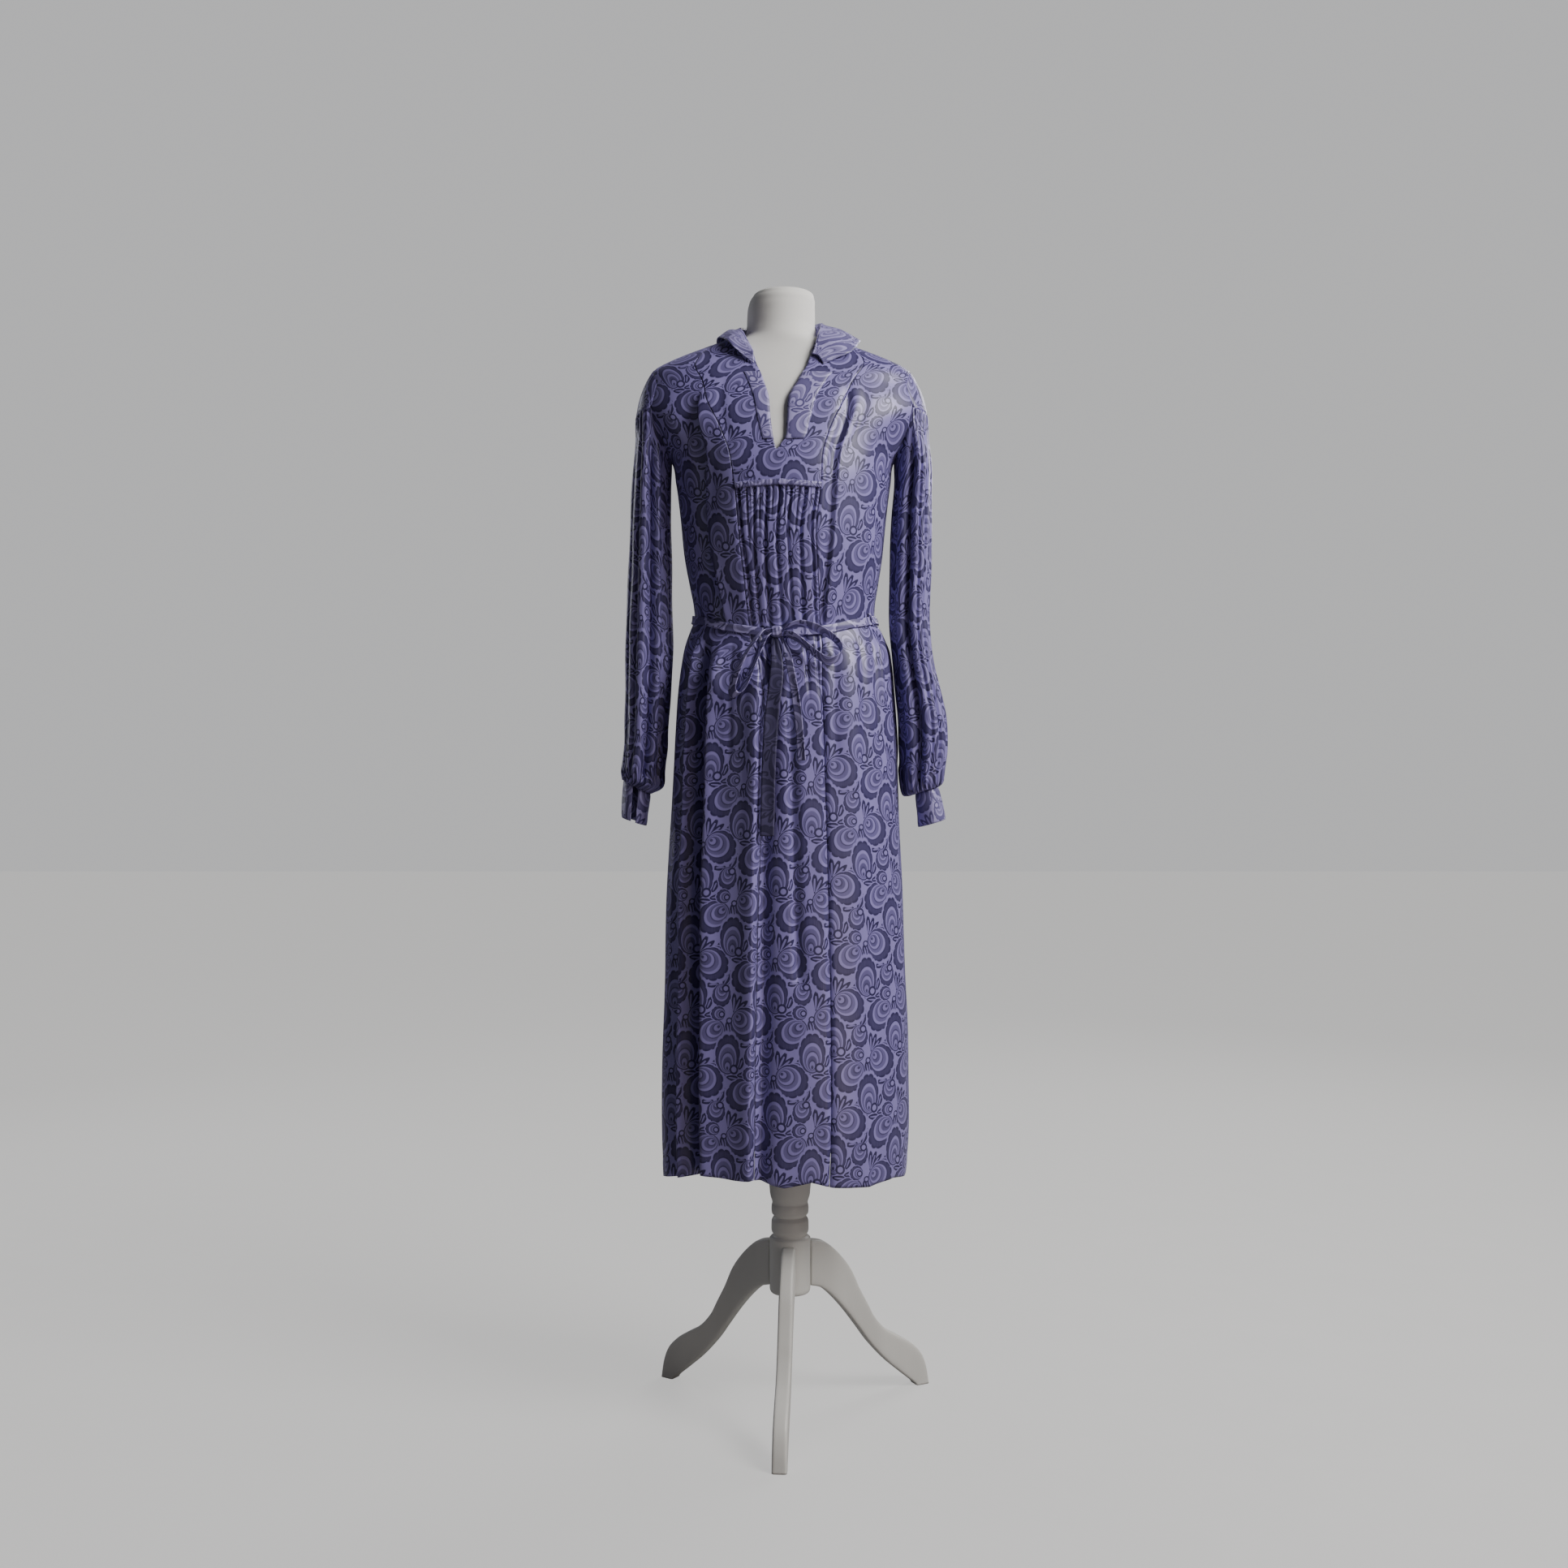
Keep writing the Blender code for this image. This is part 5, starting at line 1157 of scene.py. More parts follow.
# The smooth top of a sleeve, between the armhole and the gather seam, a little crowned.
def addCap(word):
    side = sleeves[word]["side"]
    angle = np.linspace(-capLook["reach"], capLook["reach"], capLook["columns"])
    upper = armholePoint(angle, side)
    lower = sleeveSeam(angle, side)
    lower[:, 2] += 2 * panels["seamGap"]
    along = np.linspace(0, 1, capLook["rows"])[:, None, None]
    swell = 4 * capLook["swell"] * along * (1 - along) * np.cos(np.radians(angle))[None, :, None]
    turnIn = (seamTurn(capLook["tall"] * along)
              + seamTurn(capLook["tall"] * (1 - along), capLook["lowerSeam"]))
    out = np.array(capLook["out"]) * (side, 1, 1)
    grid = lower * (1 - along) + upper * along + (swell + turnIn) * out
    sewn = facing(grid, -side)
    grid = facing(np.concatenate([grid, seamAllowance(grid[-1:])]), -side)
    flat = layFlat(grid, capLook["columns"] // 2, (0.1, 0.4 * side))
    piece = addGrid("cap" + word.title(), grid, flat, wall=garment["wall"])
    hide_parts("shoulder_cap_" + word)
    addStitches(piece, [(sewn[1, 2:-2], gridOut(sewn)[1, 2:-2])])
    return piece


cuffLook = {
    "wall": 0.0014, "girth": 0.150, "tall": 0.05, "columns": 145, "rows": 25,
    "dentDepth": 0.0007,
    "edgeDepth": 0.0008, "edgeReach": 0.06,       # both edges are folded, so they turn in
    "curl": 0.0022, "curlReach": 16,              # of the open cuff's loose ends
    # Where the closed cuff laps over: angle, spread, depth, and the height where it starts.
    "lap": 84.5, "lapSpread": 3.4, "lapDepth": 0.0016, "lapEnd": 0.64, "lapFade": 0.06,
}


def addCuff(word):
    shape = sleeves[word]
    side, opening = shape["side"], shape["open"]
    angle = np.linspace(0, 360, cuffLook["columns"])
    if opening:
        angle = np.linspace(opening[1], opening[0] + 360, cuffLook["columns"])
    along = np.linspace(0, 1, cuffLook["rows"])[:, None]
    upper = ringOf(shape["cuffTop"], angle, side) - np.array([0, 0, 2 * panels["seamGap"]])
    grid = ringOf(shape["cuffEnd"], angle, side) * (1 - along[..., None]) + upper * along[..., None]
    turn = np.radians(angle)[None, :]
    dents = cuffLook["dentDepth"] * np.sin(5 * turn + 3 * along) * np.sin(np.pi * along)
    edge, reach = cuffLook["edgeDepth"], cuffLook["edgeReach"]
    folded = -edge * bell(along, reach) - edge * bell(1 - along, reach)
    grid = grid + (dents + folded)[..., None] * tubeOut(grid)
    if opening:                                    # one loose end curls out, the other in
        reach = cuffLook["curlReach"]
        ends = bell(angle - angle[0], reach) - 0.8 * bell(angle - angle[-1], reach)
        grid = grid + (cuffLook["curl"] * ends * (1 - along))[..., None] * tubeOut(grid)
    else:
        lap = bell(turned(angle - cuffLook["lap"]), cuffLook["lapSpread"])
        lap = lap * ease(along, cuffLook["lapEnd"], cuffLook["lapEnd"] + cuffLook["lapFade"])
        grid = grid - (cuffLook["lapDepth"] * lap)[..., None] * tubeOut(grid)
    flat = np.stack(np.broadcast_arrays(angle[None, :] / 360 * cuffLook["girth"] + 0.3,
                                        along * cuffLook["tall"] + 0.1), axis=-1)
    closed = opening is None
    grid = grid[:, :-1] if closed else grid
    piece = addGrid("cuff" + word.title(), facing(grid, -side), facing(flat, -side), closed=closed,
                    wall=cuffLook["wall"], slot="satin_trim")
    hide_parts("cuff_" + word)
    sewn = facing(grid, -side)
    out = gridOut(sewn)
    addStitches(piece, [(sewn[row], out[row]) for row in (1, -2)])
    return piece


# The collar, from its right end, round the back, to its left end: the fold's x, y, z, then the
# outer edge's x, y, z, from the form's axis.
collar = {
    "stations": (
        (0.0400, -0.0640, 1.4740, 0.0540, -0.0680, 1.4585),
        (0.0450, -0.0555, 1.4900, 0.0720, -0.0640, 1.4680),
        (0.0490, -0.0420, 1.5090, 0.0930, -0.0560, 1.4790),
        (0.0530, -0.0140, 1.5270, 0.1080, -0.0060, 1.5070),
        (0.0520, 0.0120, 1.5350, 0.0980, 0.0330, 1.5060),
        (0.0420, 0.0370, 1.5390, 0.0720, 0.0600, 1.4985),
        (0.0220, 0.0530, 1.5400, 0.0360, 0.0730, 1.4900),
        (-0.0045, 0.0580, 1.5400, -0.0050, 0.0770, 1.4880),
        (-0.0300, 0.0520, 1.5380, -0.0450, 0.0730, 1.4890),
        (-0.0500, 0.0360, 1.5340, -0.0760, 0.0580, 1.4960),
        (-0.0600, 0.0120, 1.5290, -0.0940, 0.0290, 1.5060),
        (-0.0620, -0.0100, 1.5230, -0.0930, -0.0060, 1.5115),
        (-0.0580, -0.0330, 1.5130, -0.0790, -0.0510, 1.4960),
        (-0.0520, -0.0490, 1.4980, -0.0620, -0.0640, 1.4760),
        (-0.0430, -0.0630, 1.4780, -0.0410, -0.0700, 1.4590),
    ),
    "columns": 150, "rows": 41, "wall": 0.0013,
    "stand": 0.0055,          # how far the neck side stands in from the fold
    "standFrom": (1.495, 1.520),   # between these heights the fold rises off the cloth
    "seamRise": 0.0023, "lyingBack": 0.0026, "crown": 0.004, "underFold": 0.0015,
    "rippleDepth": 0.0008, "ripples": 31,
    "sewnAt": 0.0038,         # the topstitching, from the outer edge
}


# Rows from the outer edge up to the fold and down to the neck seam: fixed points on each column,
# with a smooth curve through them.
def addCollar():
    table = np.array(collar["stations"])
    place = np.linspace(0, len(table) - 1, collar["columns"])
    table = smoothRows(np.column_stack([np.arange(len(table)), table]), place)
    fold, edge = table[:, :3].copy(), table[:, 3:].copy()
    inward = fold - edge
    inward[:, 2] = 0
    inward /= np.linalg.norm(inward, axis=1)[:, None]
    raised = ease(fold[:, 2], *collar["standFrom"])[:, None]
    angle = np.degrees(np.arctan2(fold[:, 0], -fold[:, 1]))
    x, y = ringPoint(bodyRows, angle, np.full(len(fold), garment["neckline"]))
    seam = np.stack([x, y, np.full(len(fold), garment["neckline"] + collar["seamRise"])], axis=-1)
    base = seam * raised + (fold + np.array([0, collar["lyingBack"], 0])) * (1 - raised)
    half = 0.5 * (fold + edge) + np.array([0, 0, collar["crown"]])
    near = fold - inward * collar["stand"] * (0.3 + 0.7 * raised)
    near = near + np.array([0, 0, -collar["underFold"]])
    stack = np.stack([edge, half, near, fold, base]) + np.array([*formAxis, 0])
    grid = smoothStack(stack, collar["rows"])
    along = np.linspace(0, 1, collar["rows"])[:, None]
    turn = np.linspace(0, 1, collar["columns"])[None, :]
    ripple = np.sin(collar["ripples"] * turn + 2) * np.sin(np.pi * np.clip(along / 0.6, 0, 1))
    ripple = collar["rippleDepth"] * ripple
    grid = grid - ripple[..., None] * inward[None]
    grid = grid[:, ::-1]
    piece = addGrid("collarFold", grid, layFlat(grid, collar["columns"] // 2, (0.3, 0.2)),
                    wall=collar["wall"], slot="satin_trim")
    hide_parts("collar")
    sewn = rowAt(grid, collar["sewnAt"])
    addStitches(piece, [(sewn[2:-2], gridOut(grid)[2, 2:-2])])
    return piece


belt = {
    "height": 0.011, "out": 0.0030, "wall": 0.0009, "columns": 420, "rows": 11,
    "waistDepth": 0.094,      # from the form's axis to the waist in front
    "knotGap": 0.2,           # degrees between the belt's ends and the knot
    "drift": 0.0010, "smallDrift": 0.0005, "crown": 0.0008, "roll": 0.0003,
}
knot = {"place": (-0.0100, 1.0885), "size": (0.017, 0.012, 0.016), "out": 0.0008,
        "power": 2.6, "count": 22,
        "groove": 0.06, "waisted": 0.10, "waistAt": 0.1, "waistReach": 0.35}
carrier = {"angle": 65.3, "wide": 0.9, "half": 0.0095, "rise": 0.0062, "sunk": 0.0004}

# The bow's ribbons. A route gives x, clearance from the dress and z; across points over the width.
ribbons = {
    "bowLoopRight": {"node": "belt_loop_right", "across": (0.12, -0.70, 0.58), "width": 0.014,
                     "count": 150, "bothTied": True, "route": (
        (-0.0009, 0.0047, 1.0917), (0.006, 0.013, 1.0945), (0.020, 0.016, 1.0985),
        (0.036, 0.016, 1.0960), (0.052, 0.016, 1.0890), (0.067, 0.015, 1.0800),
        (0.077, 0.015, 1.0680), (0.078, 0.015, 1.0585), (0.070, 0.014, 1.0500),
        (0.057, 0.013, 1.0485), (0.044, 0.012, 1.0560), (0.030, 0.011, 1.0680),
        (0.016, 0.012, 1.0790), (0.005, 0.011, 1.0845), (-0.0008, 0.0042, 1.0860),
    )},
    "bowLoopLeft": {"node": "belt_loop_left", "across": (0.66, -0.55, 0.42), "width": 0.015,
                    "count": 130, "bothTied": True, "route": (
        (-0.0195, 0.0038, 1.0895), (-0.031, 0.012, 1.0860), (-0.044, 0.014, 1.0680),
        (-0.058, 0.013, 1.0450), (-0.068, 0.011, 1.0180), (-0.069, 0.009, 1.0060),
        (-0.064, 0.007, 1.0020), (-0.056, 0.007, 1.0100), (-0.046, 0.007, 1.0330),
        (-0.035, 0.007, 1.0600), (-0.027, 0.008, 1.0780), (-0.0197, 0.0026, 1.0850),
    )},
    "tailLight": {"node": "belt_tail_light", "across": (-0.90, 0.40, 0.05), "width": 0.011,
                  "count": 90, "bothTied": False, "route": (
        (-0.0035, 0.0002, 1.0802), (0.0035, 0.008, 1.0620), (0.0080, 0.008, 1.0400),
        (0.0140, 0.007, 1.0080), (0.0185, 0.007, 0.9750), (0.0215, 0.007, 0.9450),
        (0.0235, 0.007, 0.9140),
    )},
    "tailDark": {"node": "belt_tail_dark", "across": (-0.98, 0.15, 0.0), "width": 0.019,
                 "count": 120, "bothTied": False, "route": (
        (-0.0135, 0.0000, 1.0796), (-0.0100, 0.006, 1.0500), (-0.0110, 0.006, 1.0200),
        (-0.0160, 0.006, 0.9800), (-0.0190, 0.006, 0.9400), (-0.0210, 0.006, 0.8950),
        (-0.0220, 0.006, 0.8500), (-0.0230, 0.006, 0.8120),
    )},
}


# The belt runs from one side of the knot round to the other: it drifts up and down a little, and
# its section is crowned and rolls slowly.
def addBelt():
    half = np.degrees(0.5 * knot["size"][0] / belt["waistDepth"])
    start = np.degrees(knot["place"][0] / belt["waistDepth"])
    angle = np.linspace(start + half + belt["knotGap"], start + 360 - half - belt["knotGap"],
                        belt["columns"])[None, :]
    across = np.linspace(0, 1, belt["rows"])[:, None]
    turn = np.radians(angle)
    drift = belt["drift"] * np.sin(3 * turn + 1) + belt["smallDrift"] * np.sin(11 * turn)
    level = garment["waist"] + (across - 0.5) * belt["height"] + drift
    crown = (belt["crown"] * np.sin(np.pi * across)
             + belt["roll"] * np.sin(2 * np.pi * across + 7 * turn))
    points = bodyPoint(angle, level, belt["out"] + crown, 0.0)
    piece = addGrid("beltWaist", points, layFlat(points, belt["columns"] // 2, (0.5, 0.05)),
                    wall=belt["wall"], slot="satin_trim")
    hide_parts("belt_waist")
    return piece


# The belt carrier: a narrow strip that leaves the cloth above the belt, arches over it and goes
# back in below. Its rise is the root of a half sine.
def addCarrier():
    level = np.linspace(-1, 1, 25)[:, None] * carrier["half"] + garment["waist"]
    angle = carrier["angle"] + np.linspace(-1, 1, 7)[None, :] * carrier["wide"]
    arch = np.sqrt(np.sin(np.linspace(0, np.pi, 25)))[:, None]
    points = bodyPoint(angle, level, carrier["rise"] * arch - carrier["sunk"], 0.0)
    return addGrid("beltCarrier", points, layFlat(points, 3, (0.1, 0.6)), wall=belt["wall"],
                   slot="satin_trim")


# y of the dress's level section in front, at this x and height.
def frontY(x, z):
    shape = smoothRows(bodyRows, z)
    share = np.clip(np.abs(x - shape[..., 1]) / shape[..., 0], 0, 1)
    return -shape[..., 2] * (1 - share ** shape[..., 4]) ** (1 / shape[..., 4])


# A ribbon along its route: narrow at the knot, cupped a little across, with a slow twist of its
# middle line so that it doesn't lie as a board.
def addRibbon(name, ribbon):
    route = np.array(ribbon["route"])
    place = np.linspace(0, len(route) - 1, ribbon["count"])
    x, clear, z = smoothRows(np.column_stack([np.arange(len(route)), route]), place).T
    middle = np.stack([x, frontY(x, z) - clear, z], axis=-1) + np.array([*formAxis, 0])
    across = np.array(ribbon["across"], float)
    across /= np.linalg.norm(across)
    ends = ease(place, 0, 2.0)
    if ribbon["bothTied"]:
        ends = ends * ease(len(route) - 1 - place, 0, 2.0)
    half = 0.5 * ribbon["width"] * (0.6 + 0.4 * ends)
    run = np.gradient(middle, axis=0)
    run /= np.linalg.norm(run, axis=1)[:, None]
    out = np.cross(run, across)
    share = np.linspace(-1, 1, 9)[None, :, None]
    pleats = 0.0006 * np.cos(7 * share) * (1 - ends[:, None, None])
    cup = (0.0007 * (1 - share**2) * ends[:, None, None]
           + 0.0004 * np.sin(2.5 * place[:, None, None] + 2 * share))
    grid = middle[:, None] + share * across * half[:, None, None] + (cup + pleats) * out[:, None]
    piece = addGrid(name, grid, layFlat(grid, 4, (0.2, 0.1)), wall=belt["wall"], slot="satin_trim")
    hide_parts(ribbon["node"])
    return piece


# The knot is a wrap over a bundle: a ball with grooves that run down it, narrower near its middle.
def knotWrap(points):
    groove = knot["groove"] * np.cos(9 * points[:, 0] + 1.5 * points[:, 2] + 0.5)
    waisted = 1 - knot["waisted"] * bell(points[:, 2] - knot["waistAt"], knot["waistReach"])
    return points * np.stack([waisted, 1 + groove, 1 + 0 * waisted], axis=-1)


def addKnot():
    ball, quads = ballGrid(knot["count"], knot["power"])
    points = knotWrap(ball) * np.array(knot["size"]) * 0.5
    flat = points[quads.reshape(-1)][:, [0, 2]] + points[quads.reshape(-1)][:, 1:2] * np.array([1, 0])
    x, z = knot["place"]
    y = float(frontY(np.array(x), np.array(garment["waist"]))) - 0.5 * knot["size"][1] - knot["out"]
    centre = np.array((x + formAxis[0], y + formAxis[1], z))
    piece = addFaces("beltKnot", points + centre, quads, flat, slot="satin_trim")
    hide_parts("belt_knot")
    return piece


def addBow():
    made = {name: addRibbon(name, ribbon) for name, ribbon in ribbons.items()}
    made["tailDark"].data.materials[0] = satinPaintedShade          # painted shade: the tail hangs in shadow, so it gets a darker copy of the satin
    addKnot()


# The form under the dress, in the columns of bodyRows.
form = {
    "rows": (
        (0.800, 0.0900, 0.0060, 0.070, 0.070, 2.0), (0.815, 0.1060, 0.0050, 0.082, 0.082, 2.1),
        (0.870, 0.1180, 0.0030, 0.092, 0.094, 2.2), (0.960, 0.1230, 0.0020, 0.092, 0.096, 2.2),
        (1.040, 0.1160, 0.0015, 0.084, 0.086, 2.2), (1.110, 0.1030, 0.0010, 0.076, 0.076, 2.2),
        (1.180, 0.1130, 0.0000, 0.090, 0.084, 2.2), (1.250, 0.1260, -0.0008, 0.106, 0.092, 2.2),
        (1.305, 0.1370, -0.0010, 0.114, 0.097, 2.2), (1.345, 0.1440, -0.0015, 0.1100, 0.097, 2.2),
        (1.375, 0.1510, -0.0022, 0.1020, 0.093, 2.2), (1.404, 0.1600, -0.0030, 0.0925, 0.087, 2.2),
        (1.434, 0.1660, -0.0035, 0.0775, 0.0755, 2.2), (1.4615, 0.1700, -0.0040, 0.0615, 0.0575, 2.2),
        (1.4778, 0.1520, -0.0045, 0.0540, 0.0520, 2.1), (1.4938, 0.1095, -0.0045, 0.0490, 0.0490, 2.0),
        (1.5080, 0.0580, -0.0045, 0.0475, 0.0470, 2.0), (1.5220, 0.0495, -0.0045, 0.0455, 0.0460, 2.0),
        (1.5400, 0.0480, -0.0042, 0.0450, 0.0460, 2.0), (1.5560, 0.0470, -0.0035, 0.0450, 0.0460, 2.0),
        (1.5680, 0.0440, -0.0015, 0.0430, 0.0440, 2.0), (1.5755, 0.0370, 0.0000, 0.0360, 0.0370, 2.0),
        (1.5790, 0.0240, 0.0000, 0.0230, 0.0240, 2.0),
    ),
    "columns": 120, "rowsAcross": 200,
    "underCloth": 0.0016,     # the jersey gives this much under the dress,
    "coveredTo": (1.405, 1.45),    # and less and less between these heights
}


def addForm():
    level = smoothStack(np.array([row[0] for row in form["rows"]])[:, None], form["rowsAcross"])[:, 0]
    level = np.maximum.accumulate(level)
    angle = np.linspace(0, 360, form["columns"], endpoint=False)
    x, y = ringPoint(form["rows"], angle[None, :], level[:, None])
    covered = form["underCloth"] * (1 - ease(level[:, None], *form["coveredTo"]))
    x = x - covered * np.sin(np.radians(angle))
    y = y + covered * np.cos(np.radians(angle))
    points = np.stack([x + formAxis[0], y + formAxis[1], level[:, None] + 0 * x], axis=-1)
    middle = points.mean(axis=1, keepdims=True)
    ends = [middle[i] * (1 - share) + points[i] * share
            for i in (0, -1) for share in (0.002, 0.35, 0.7)]
    points = np.concatenate([ends[:3], points, ends[:2:-1]], axis=0)
    return addClosedTube("formBody", points, "jersey", "form_body")


# A tube whose first and last rows are closed by one face each.
def addClosedTube(name, points, slot, node):
    rows, columns = points.shape[:2]
    corner = np.arange(rows * columns).reshape(rows, columns)
    after = np.roll(corner, -1, axis=1)
    quads = np.stack([corner[:-1], after[:-1], after[1:], corner[1:]], axis=-1).reshape(-1, 4)
    mesh = bpy.data.meshes.new(name)
    mesh.from_pydata(points.reshape(-1, 3).tolist(), [],
                     quads.tolist() + [corner[0, ::-1].tolist(), corner[-1].tolist()])
    mesh.validate()
    mesh.shade_smooth()
    mesh.materials.append(finishes[slot])
    piece = addObject(name, mesh)
    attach(piece, "root")
    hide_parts(node)
    return piece


stand = {
    "shift": 0.0085, "turn": -3.8,
    # The turned column from the bottom up: height, radius.
    "column": (
        (0.1636, 0.0200), (0.1638, 0.0250), (0.1650, 0.0274), (0.1690, 0.0288), (0.1760, 0.0288),
        (0.2000, 0.0288), (0.2370, 0.0288), (0.2400, 0.0286), (0.2422, 0.0272), (0.2436, 0.0244),
        (0.2452, 0.0236), (0.2468, 0.0243), (0.2490, 0.0256), (0.2525, 0.0264), (0.2565, 0.0264),
        (0.2620, 0.0263), (0.2660, 0.0258), (0.2694, 0.0240), (0.2717, 0.0228), (0.2738, 0.0243),
        (0.2755, 0.0257), (0.2790, 0.0262), (0.2830, 0.0263), (0.2870, 0.0259), (0.2900, 0.0252),
        (0.2935, 0.0257), (0.3000, 0.0277), (0.3080, 0.0288), (0.3300, 0.0300), (0.4000, 0.0305),
        (0.4500, 0.0290), (0.4660, 0.0240), (0.4690, 0.0190), (0.4700, 0.0150),
    ),
    "poleRadius": 0.0125, "poleTop": 0.7997, "poleGap": 0.0003,
    "legThickness": 0.020, "legRound": 0.28,     # exponent: 1 is an ellipse, near 0 a rectangle
    # A leg's outline, from the hub to the foot: distance from the stand's axis, height.
    "legTop": (
        (0.0291, 0.2340), (0.0420, 0.2325), (0.0560, 0.2270), (0.0760, 0.2090), (0.0945, 0.1850),
        (0.1085, 0.1560), (0.1225, 0.1306), (0.1340, 0.1100), (0.1520, 0.0905), (0.1740, 0.0770),
        (0.1940, 0.0640), (0.2110, 0.0470), (0.2200, 0.0260), (0.2245, 0.0000),
    ),
    "legUnder": (
        (0.0291, 0.1700), (0.0470, 0.1640), (0.0660, 0.1480), (0.0870, 0.1245), (0.1085, 0.0965),
        (0.1270, 0.0720), (0.1530, 0.0440), (0.1790, 0.0215), (0.1990, 0.0050), (0.2030, 0.0000),
    ),
}
standAxis = np.array([formAxis[0] + stand["shift"], formAxis[1], 0.0])


# A lathe: the profile's radius carried round the axis.
def lathe(profile, columns=96):
    profile = np.asarray(profile, float)
    turn = np.linspace(0, 2 * np.pi, columns, endpoint=False)
    x, y = profile[:, 1:] * np.cos(turn), profile[:, 1:] * np.sin(turn)
    return np.stack([x, y, profile[:, :1] + 0 * x], axis=-1) + standAxis


# The outline's points at even lengths along it.
def evenly(outline, count):
    outline = smoothStack(np.asarray(outline, float), 300)
    length = np.concatenate([[0], np.cumsum(np.linalg.norm(np.diff(outline, axis=0), axis=1))])
    keys = np.linspace(0, length[-1], count)
    return np.stack([np.interp(keys, length, outline[:, i]) for i in (0, 1)], axis=-1)


# A leg is a rounded board: each section joins the upper and the under outline, and its own
# outline is a rounded rectangle.
def addLeg(word, turn):
    top, under = evenly(stand["legTop"], 120), evenly(stand["legUnder"], 120)
    under[:, 1], top[:, 1] = np.maximum(under[:, 1], 0), np.maximum(top[:, 1], 0)
    section = np.radians(np.arange(0, 360, 7.5) + 3.75)
    up = 0.5 + 0.5 * signedPower(np.sin(section), stand["legRound"])
    wide = 0.5 * stand["legThickness"] * signedPower(np.cos(section), stand["legRound"])
    spot = under[:, None] * (1 - up)[None, :, None] + top[:, None] * up[None, :, None]
    cosine, sine = np.cos(np.radians(turn)), np.sin(np.radians(turn))
    x = spot[..., 0] * cosine - wide * sine
    y = spot[..., 0] * sine + wide * cosine
    points = np.stack([x, y, spot[..., 1]], axis=-1) + standAxis
    return addClosedTube("leg" + word.title(), points, "painted_wood", "stand_leg_" + word)


def addStand():
    profile = smoothStack(np.array(stand["column"]), 220)
    addClosedTube("standColumn", lathe(profile), "painted_wood", "stand_column")
    low = stand["column"][-1][0] + stand["poleGap"]
    pole = [(low, stand["poleRadius"]), (0.5 * (low + stand["poleTop"]), stand["poleRadius"]),
            (stand["poleTop"], stand["poleRadius"])]
    addClosedTube("standPole", lathe(pole, 64), "steel", "stand_pole")
    for word, turn in (("front", -90), ("right", 30), ("left", 150)):
        addLeg(word, turn + stand["turn"])


# The photograph's viewpoint: level, this far from the form's axis. Sensor and lens in millimetres.
viewpoint = {"distance": 2.28, "height": 0.882, "sensor": 36, "lens": 36.97, "clip": (0.05, 50)}


def addCamera():
    data = bpy.data.cameras.new("camera")
    camera = addObject("camera", data)
    camera.location = (formAxis[0], formAxis[1] - viewpoint["distance"], viewpoint["height"])
    camera.rotation_euler = (np.pi / 2, 0, 0)
    data.sensor_width, data.lens = viewpoint["sensor"], viewpoint["lens"]
    data.clip_start, data.clip_end = viewpoint["clip"]
    bpy.context.scene.camera = camera


def addLight(name, spot, aim, size, watts, colour=(1, 1, 1)):
    data = bpy.data.lights.new(name, "AREA")
    data.shape = "RECTANGLE"
    data.size, data.size_y = size
    data.energy = watts
    data.color = colour
    lamp = addObject(name, data)
    lamp.location = spot
    lamp.rotation_euler = (Vector(aim) - Vector(spot)).to_track_quat("-Z", "Y").to_euler()


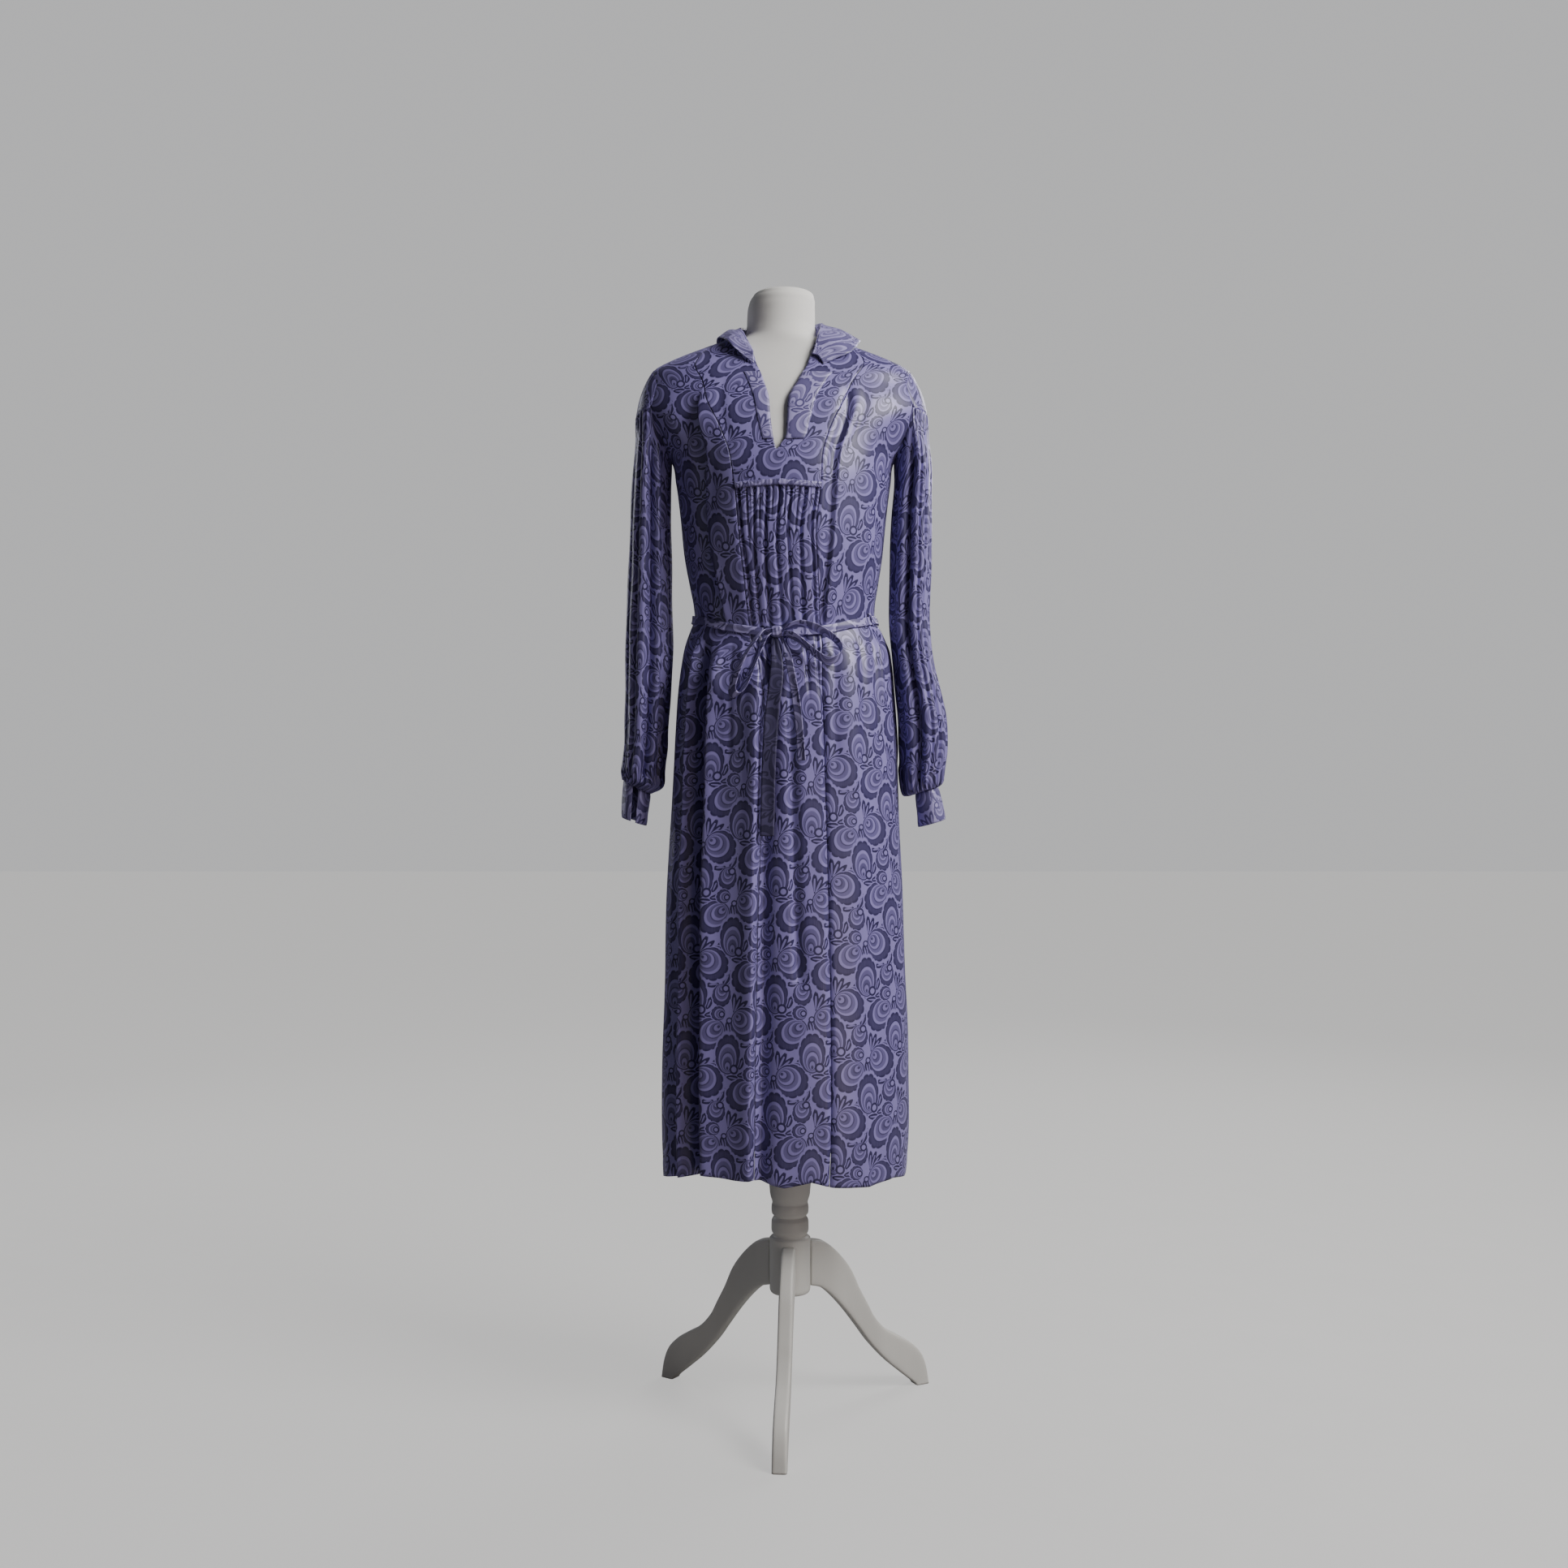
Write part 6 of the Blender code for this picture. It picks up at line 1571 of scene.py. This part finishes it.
studio = {
    "floor": {"colour": (0.25, 0.247, 0.243), "roughness": 0.8, "fine": 60, "grain": 0.02,
              "worn": 1.0},
    "floorSize": 14.0,
    "glowColour": (1.0, 0.99, 0.98, 1), "floorGlow": 0.60,     # only seen, it lights nothing
    "shade": (0.64, 0.63, 0.70, 1), "shadeStrength": 0.05,     # what the room sends onto the cloth
    "backdrop": (0.80, 0.80, 0.81, 1), "backdropStrength": 0.70,
    # Each soft box: place, aim, width and height, watts, colour.
    "lamps": {
        "key": ((1.75, -1.05, 2.60), (0.05, 0, 1.5), (1.2, 1.6), 82, (1.0, 0.985, 0.97)),
        "fill": ((-2.3, -1.9, 1.3), (0, 0, 0.8), (1.6, 2.0), 3, (0.90, 0.90, 1.0)),
        "low": ((1.3, -2.0, 0.30), (0, -0.2, 0.0), (0.9, 0.6), 5, (1.0, 0.84, 0.76)),
        "backRight": ((1.5, 2.3, 2.4), (0, 0, 1.0), (1.2, 1.6), 34, (1.0, 0.99, 0.98)),
        "backLeft": ((-2.0, 1.7, 1.8), (0, 0, 0.9), (1.2, 1.8), 11, (0.93, 0.95, 1.0)),
    },
}


# A pale floor, soft boxes, and a backdrop that is paler than the light it sends.
def addStudio():
    size = studio["floorSize"]
    mesh = bpy.data.meshes.new("floor")
    mesh.from_pydata([(-size, -size, 0), (size, -size, 0), (size, size, 0), (-size, size, 0)], [],
                     [(0, 1, 2, 3)])
    floor = addObject("floor", mesh)
    paint = plainMaterial("paleFloor", wear, **studio["floor"])
    tree = paint.node_tree
    looked = addNode(tree, "ShaderNodeLightPath")
    glow = calc(tree, "MULTIPLY", looked.outputs["Is Camera Ray"], studio["floorGlow"])
    fill(tree, tree.nodes["Principled BSDF"], {"Emission Color": studio["glowColour"],
                                               "Emission Strength": glow})
    mesh.materials.append(paint)
    world = bpy.data.worlds.new("studio")
    world.use_nodes = True
    tree = world.node_tree
    shade = fill(tree, tree.nodes["Background"], {"Color": studio["shade"],
                                                  "Strength": studio["shadeStrength"]})
    backdrop = addNode(tree, "ShaderNodeBackground")
    fill(tree, backdrop, {"Color": studio["backdrop"], "Strength": studio["backdropStrength"]})
    seen = addNode(tree, "ShaderNodeLightPath")
    both = addNode(tree, "ShaderNodeMixShader")
    fill(tree, both, {"Fac": seen.outputs["Is Camera Ray"], 1: shade.outputs["Background"],
                      2: backdrop.outputs["Background"]})
    fill(tree, tree.nodes["World Output"], {"Surface": both.outputs["Shader"]})
    bpy.context.scene.world = world
    for name, lamp in studio["lamps"].items():
        addLight(name, *lamp)


print("camera and light")
addCamera()
addStudio()
print("panels")
addSideFronts()
addBack()
addCentre()
addBib()
addBibBand()
addNeckBands()
print("sleeves, cuffs and collar")
for word in ("left", "right"):
    addCap(word)
    addSleeve(word)
    addCuff(word)
addCollar()
print("belt and bow")
addBelt()
addBow()
addCarrier()
print("form and stand")
addForm()
addStand()
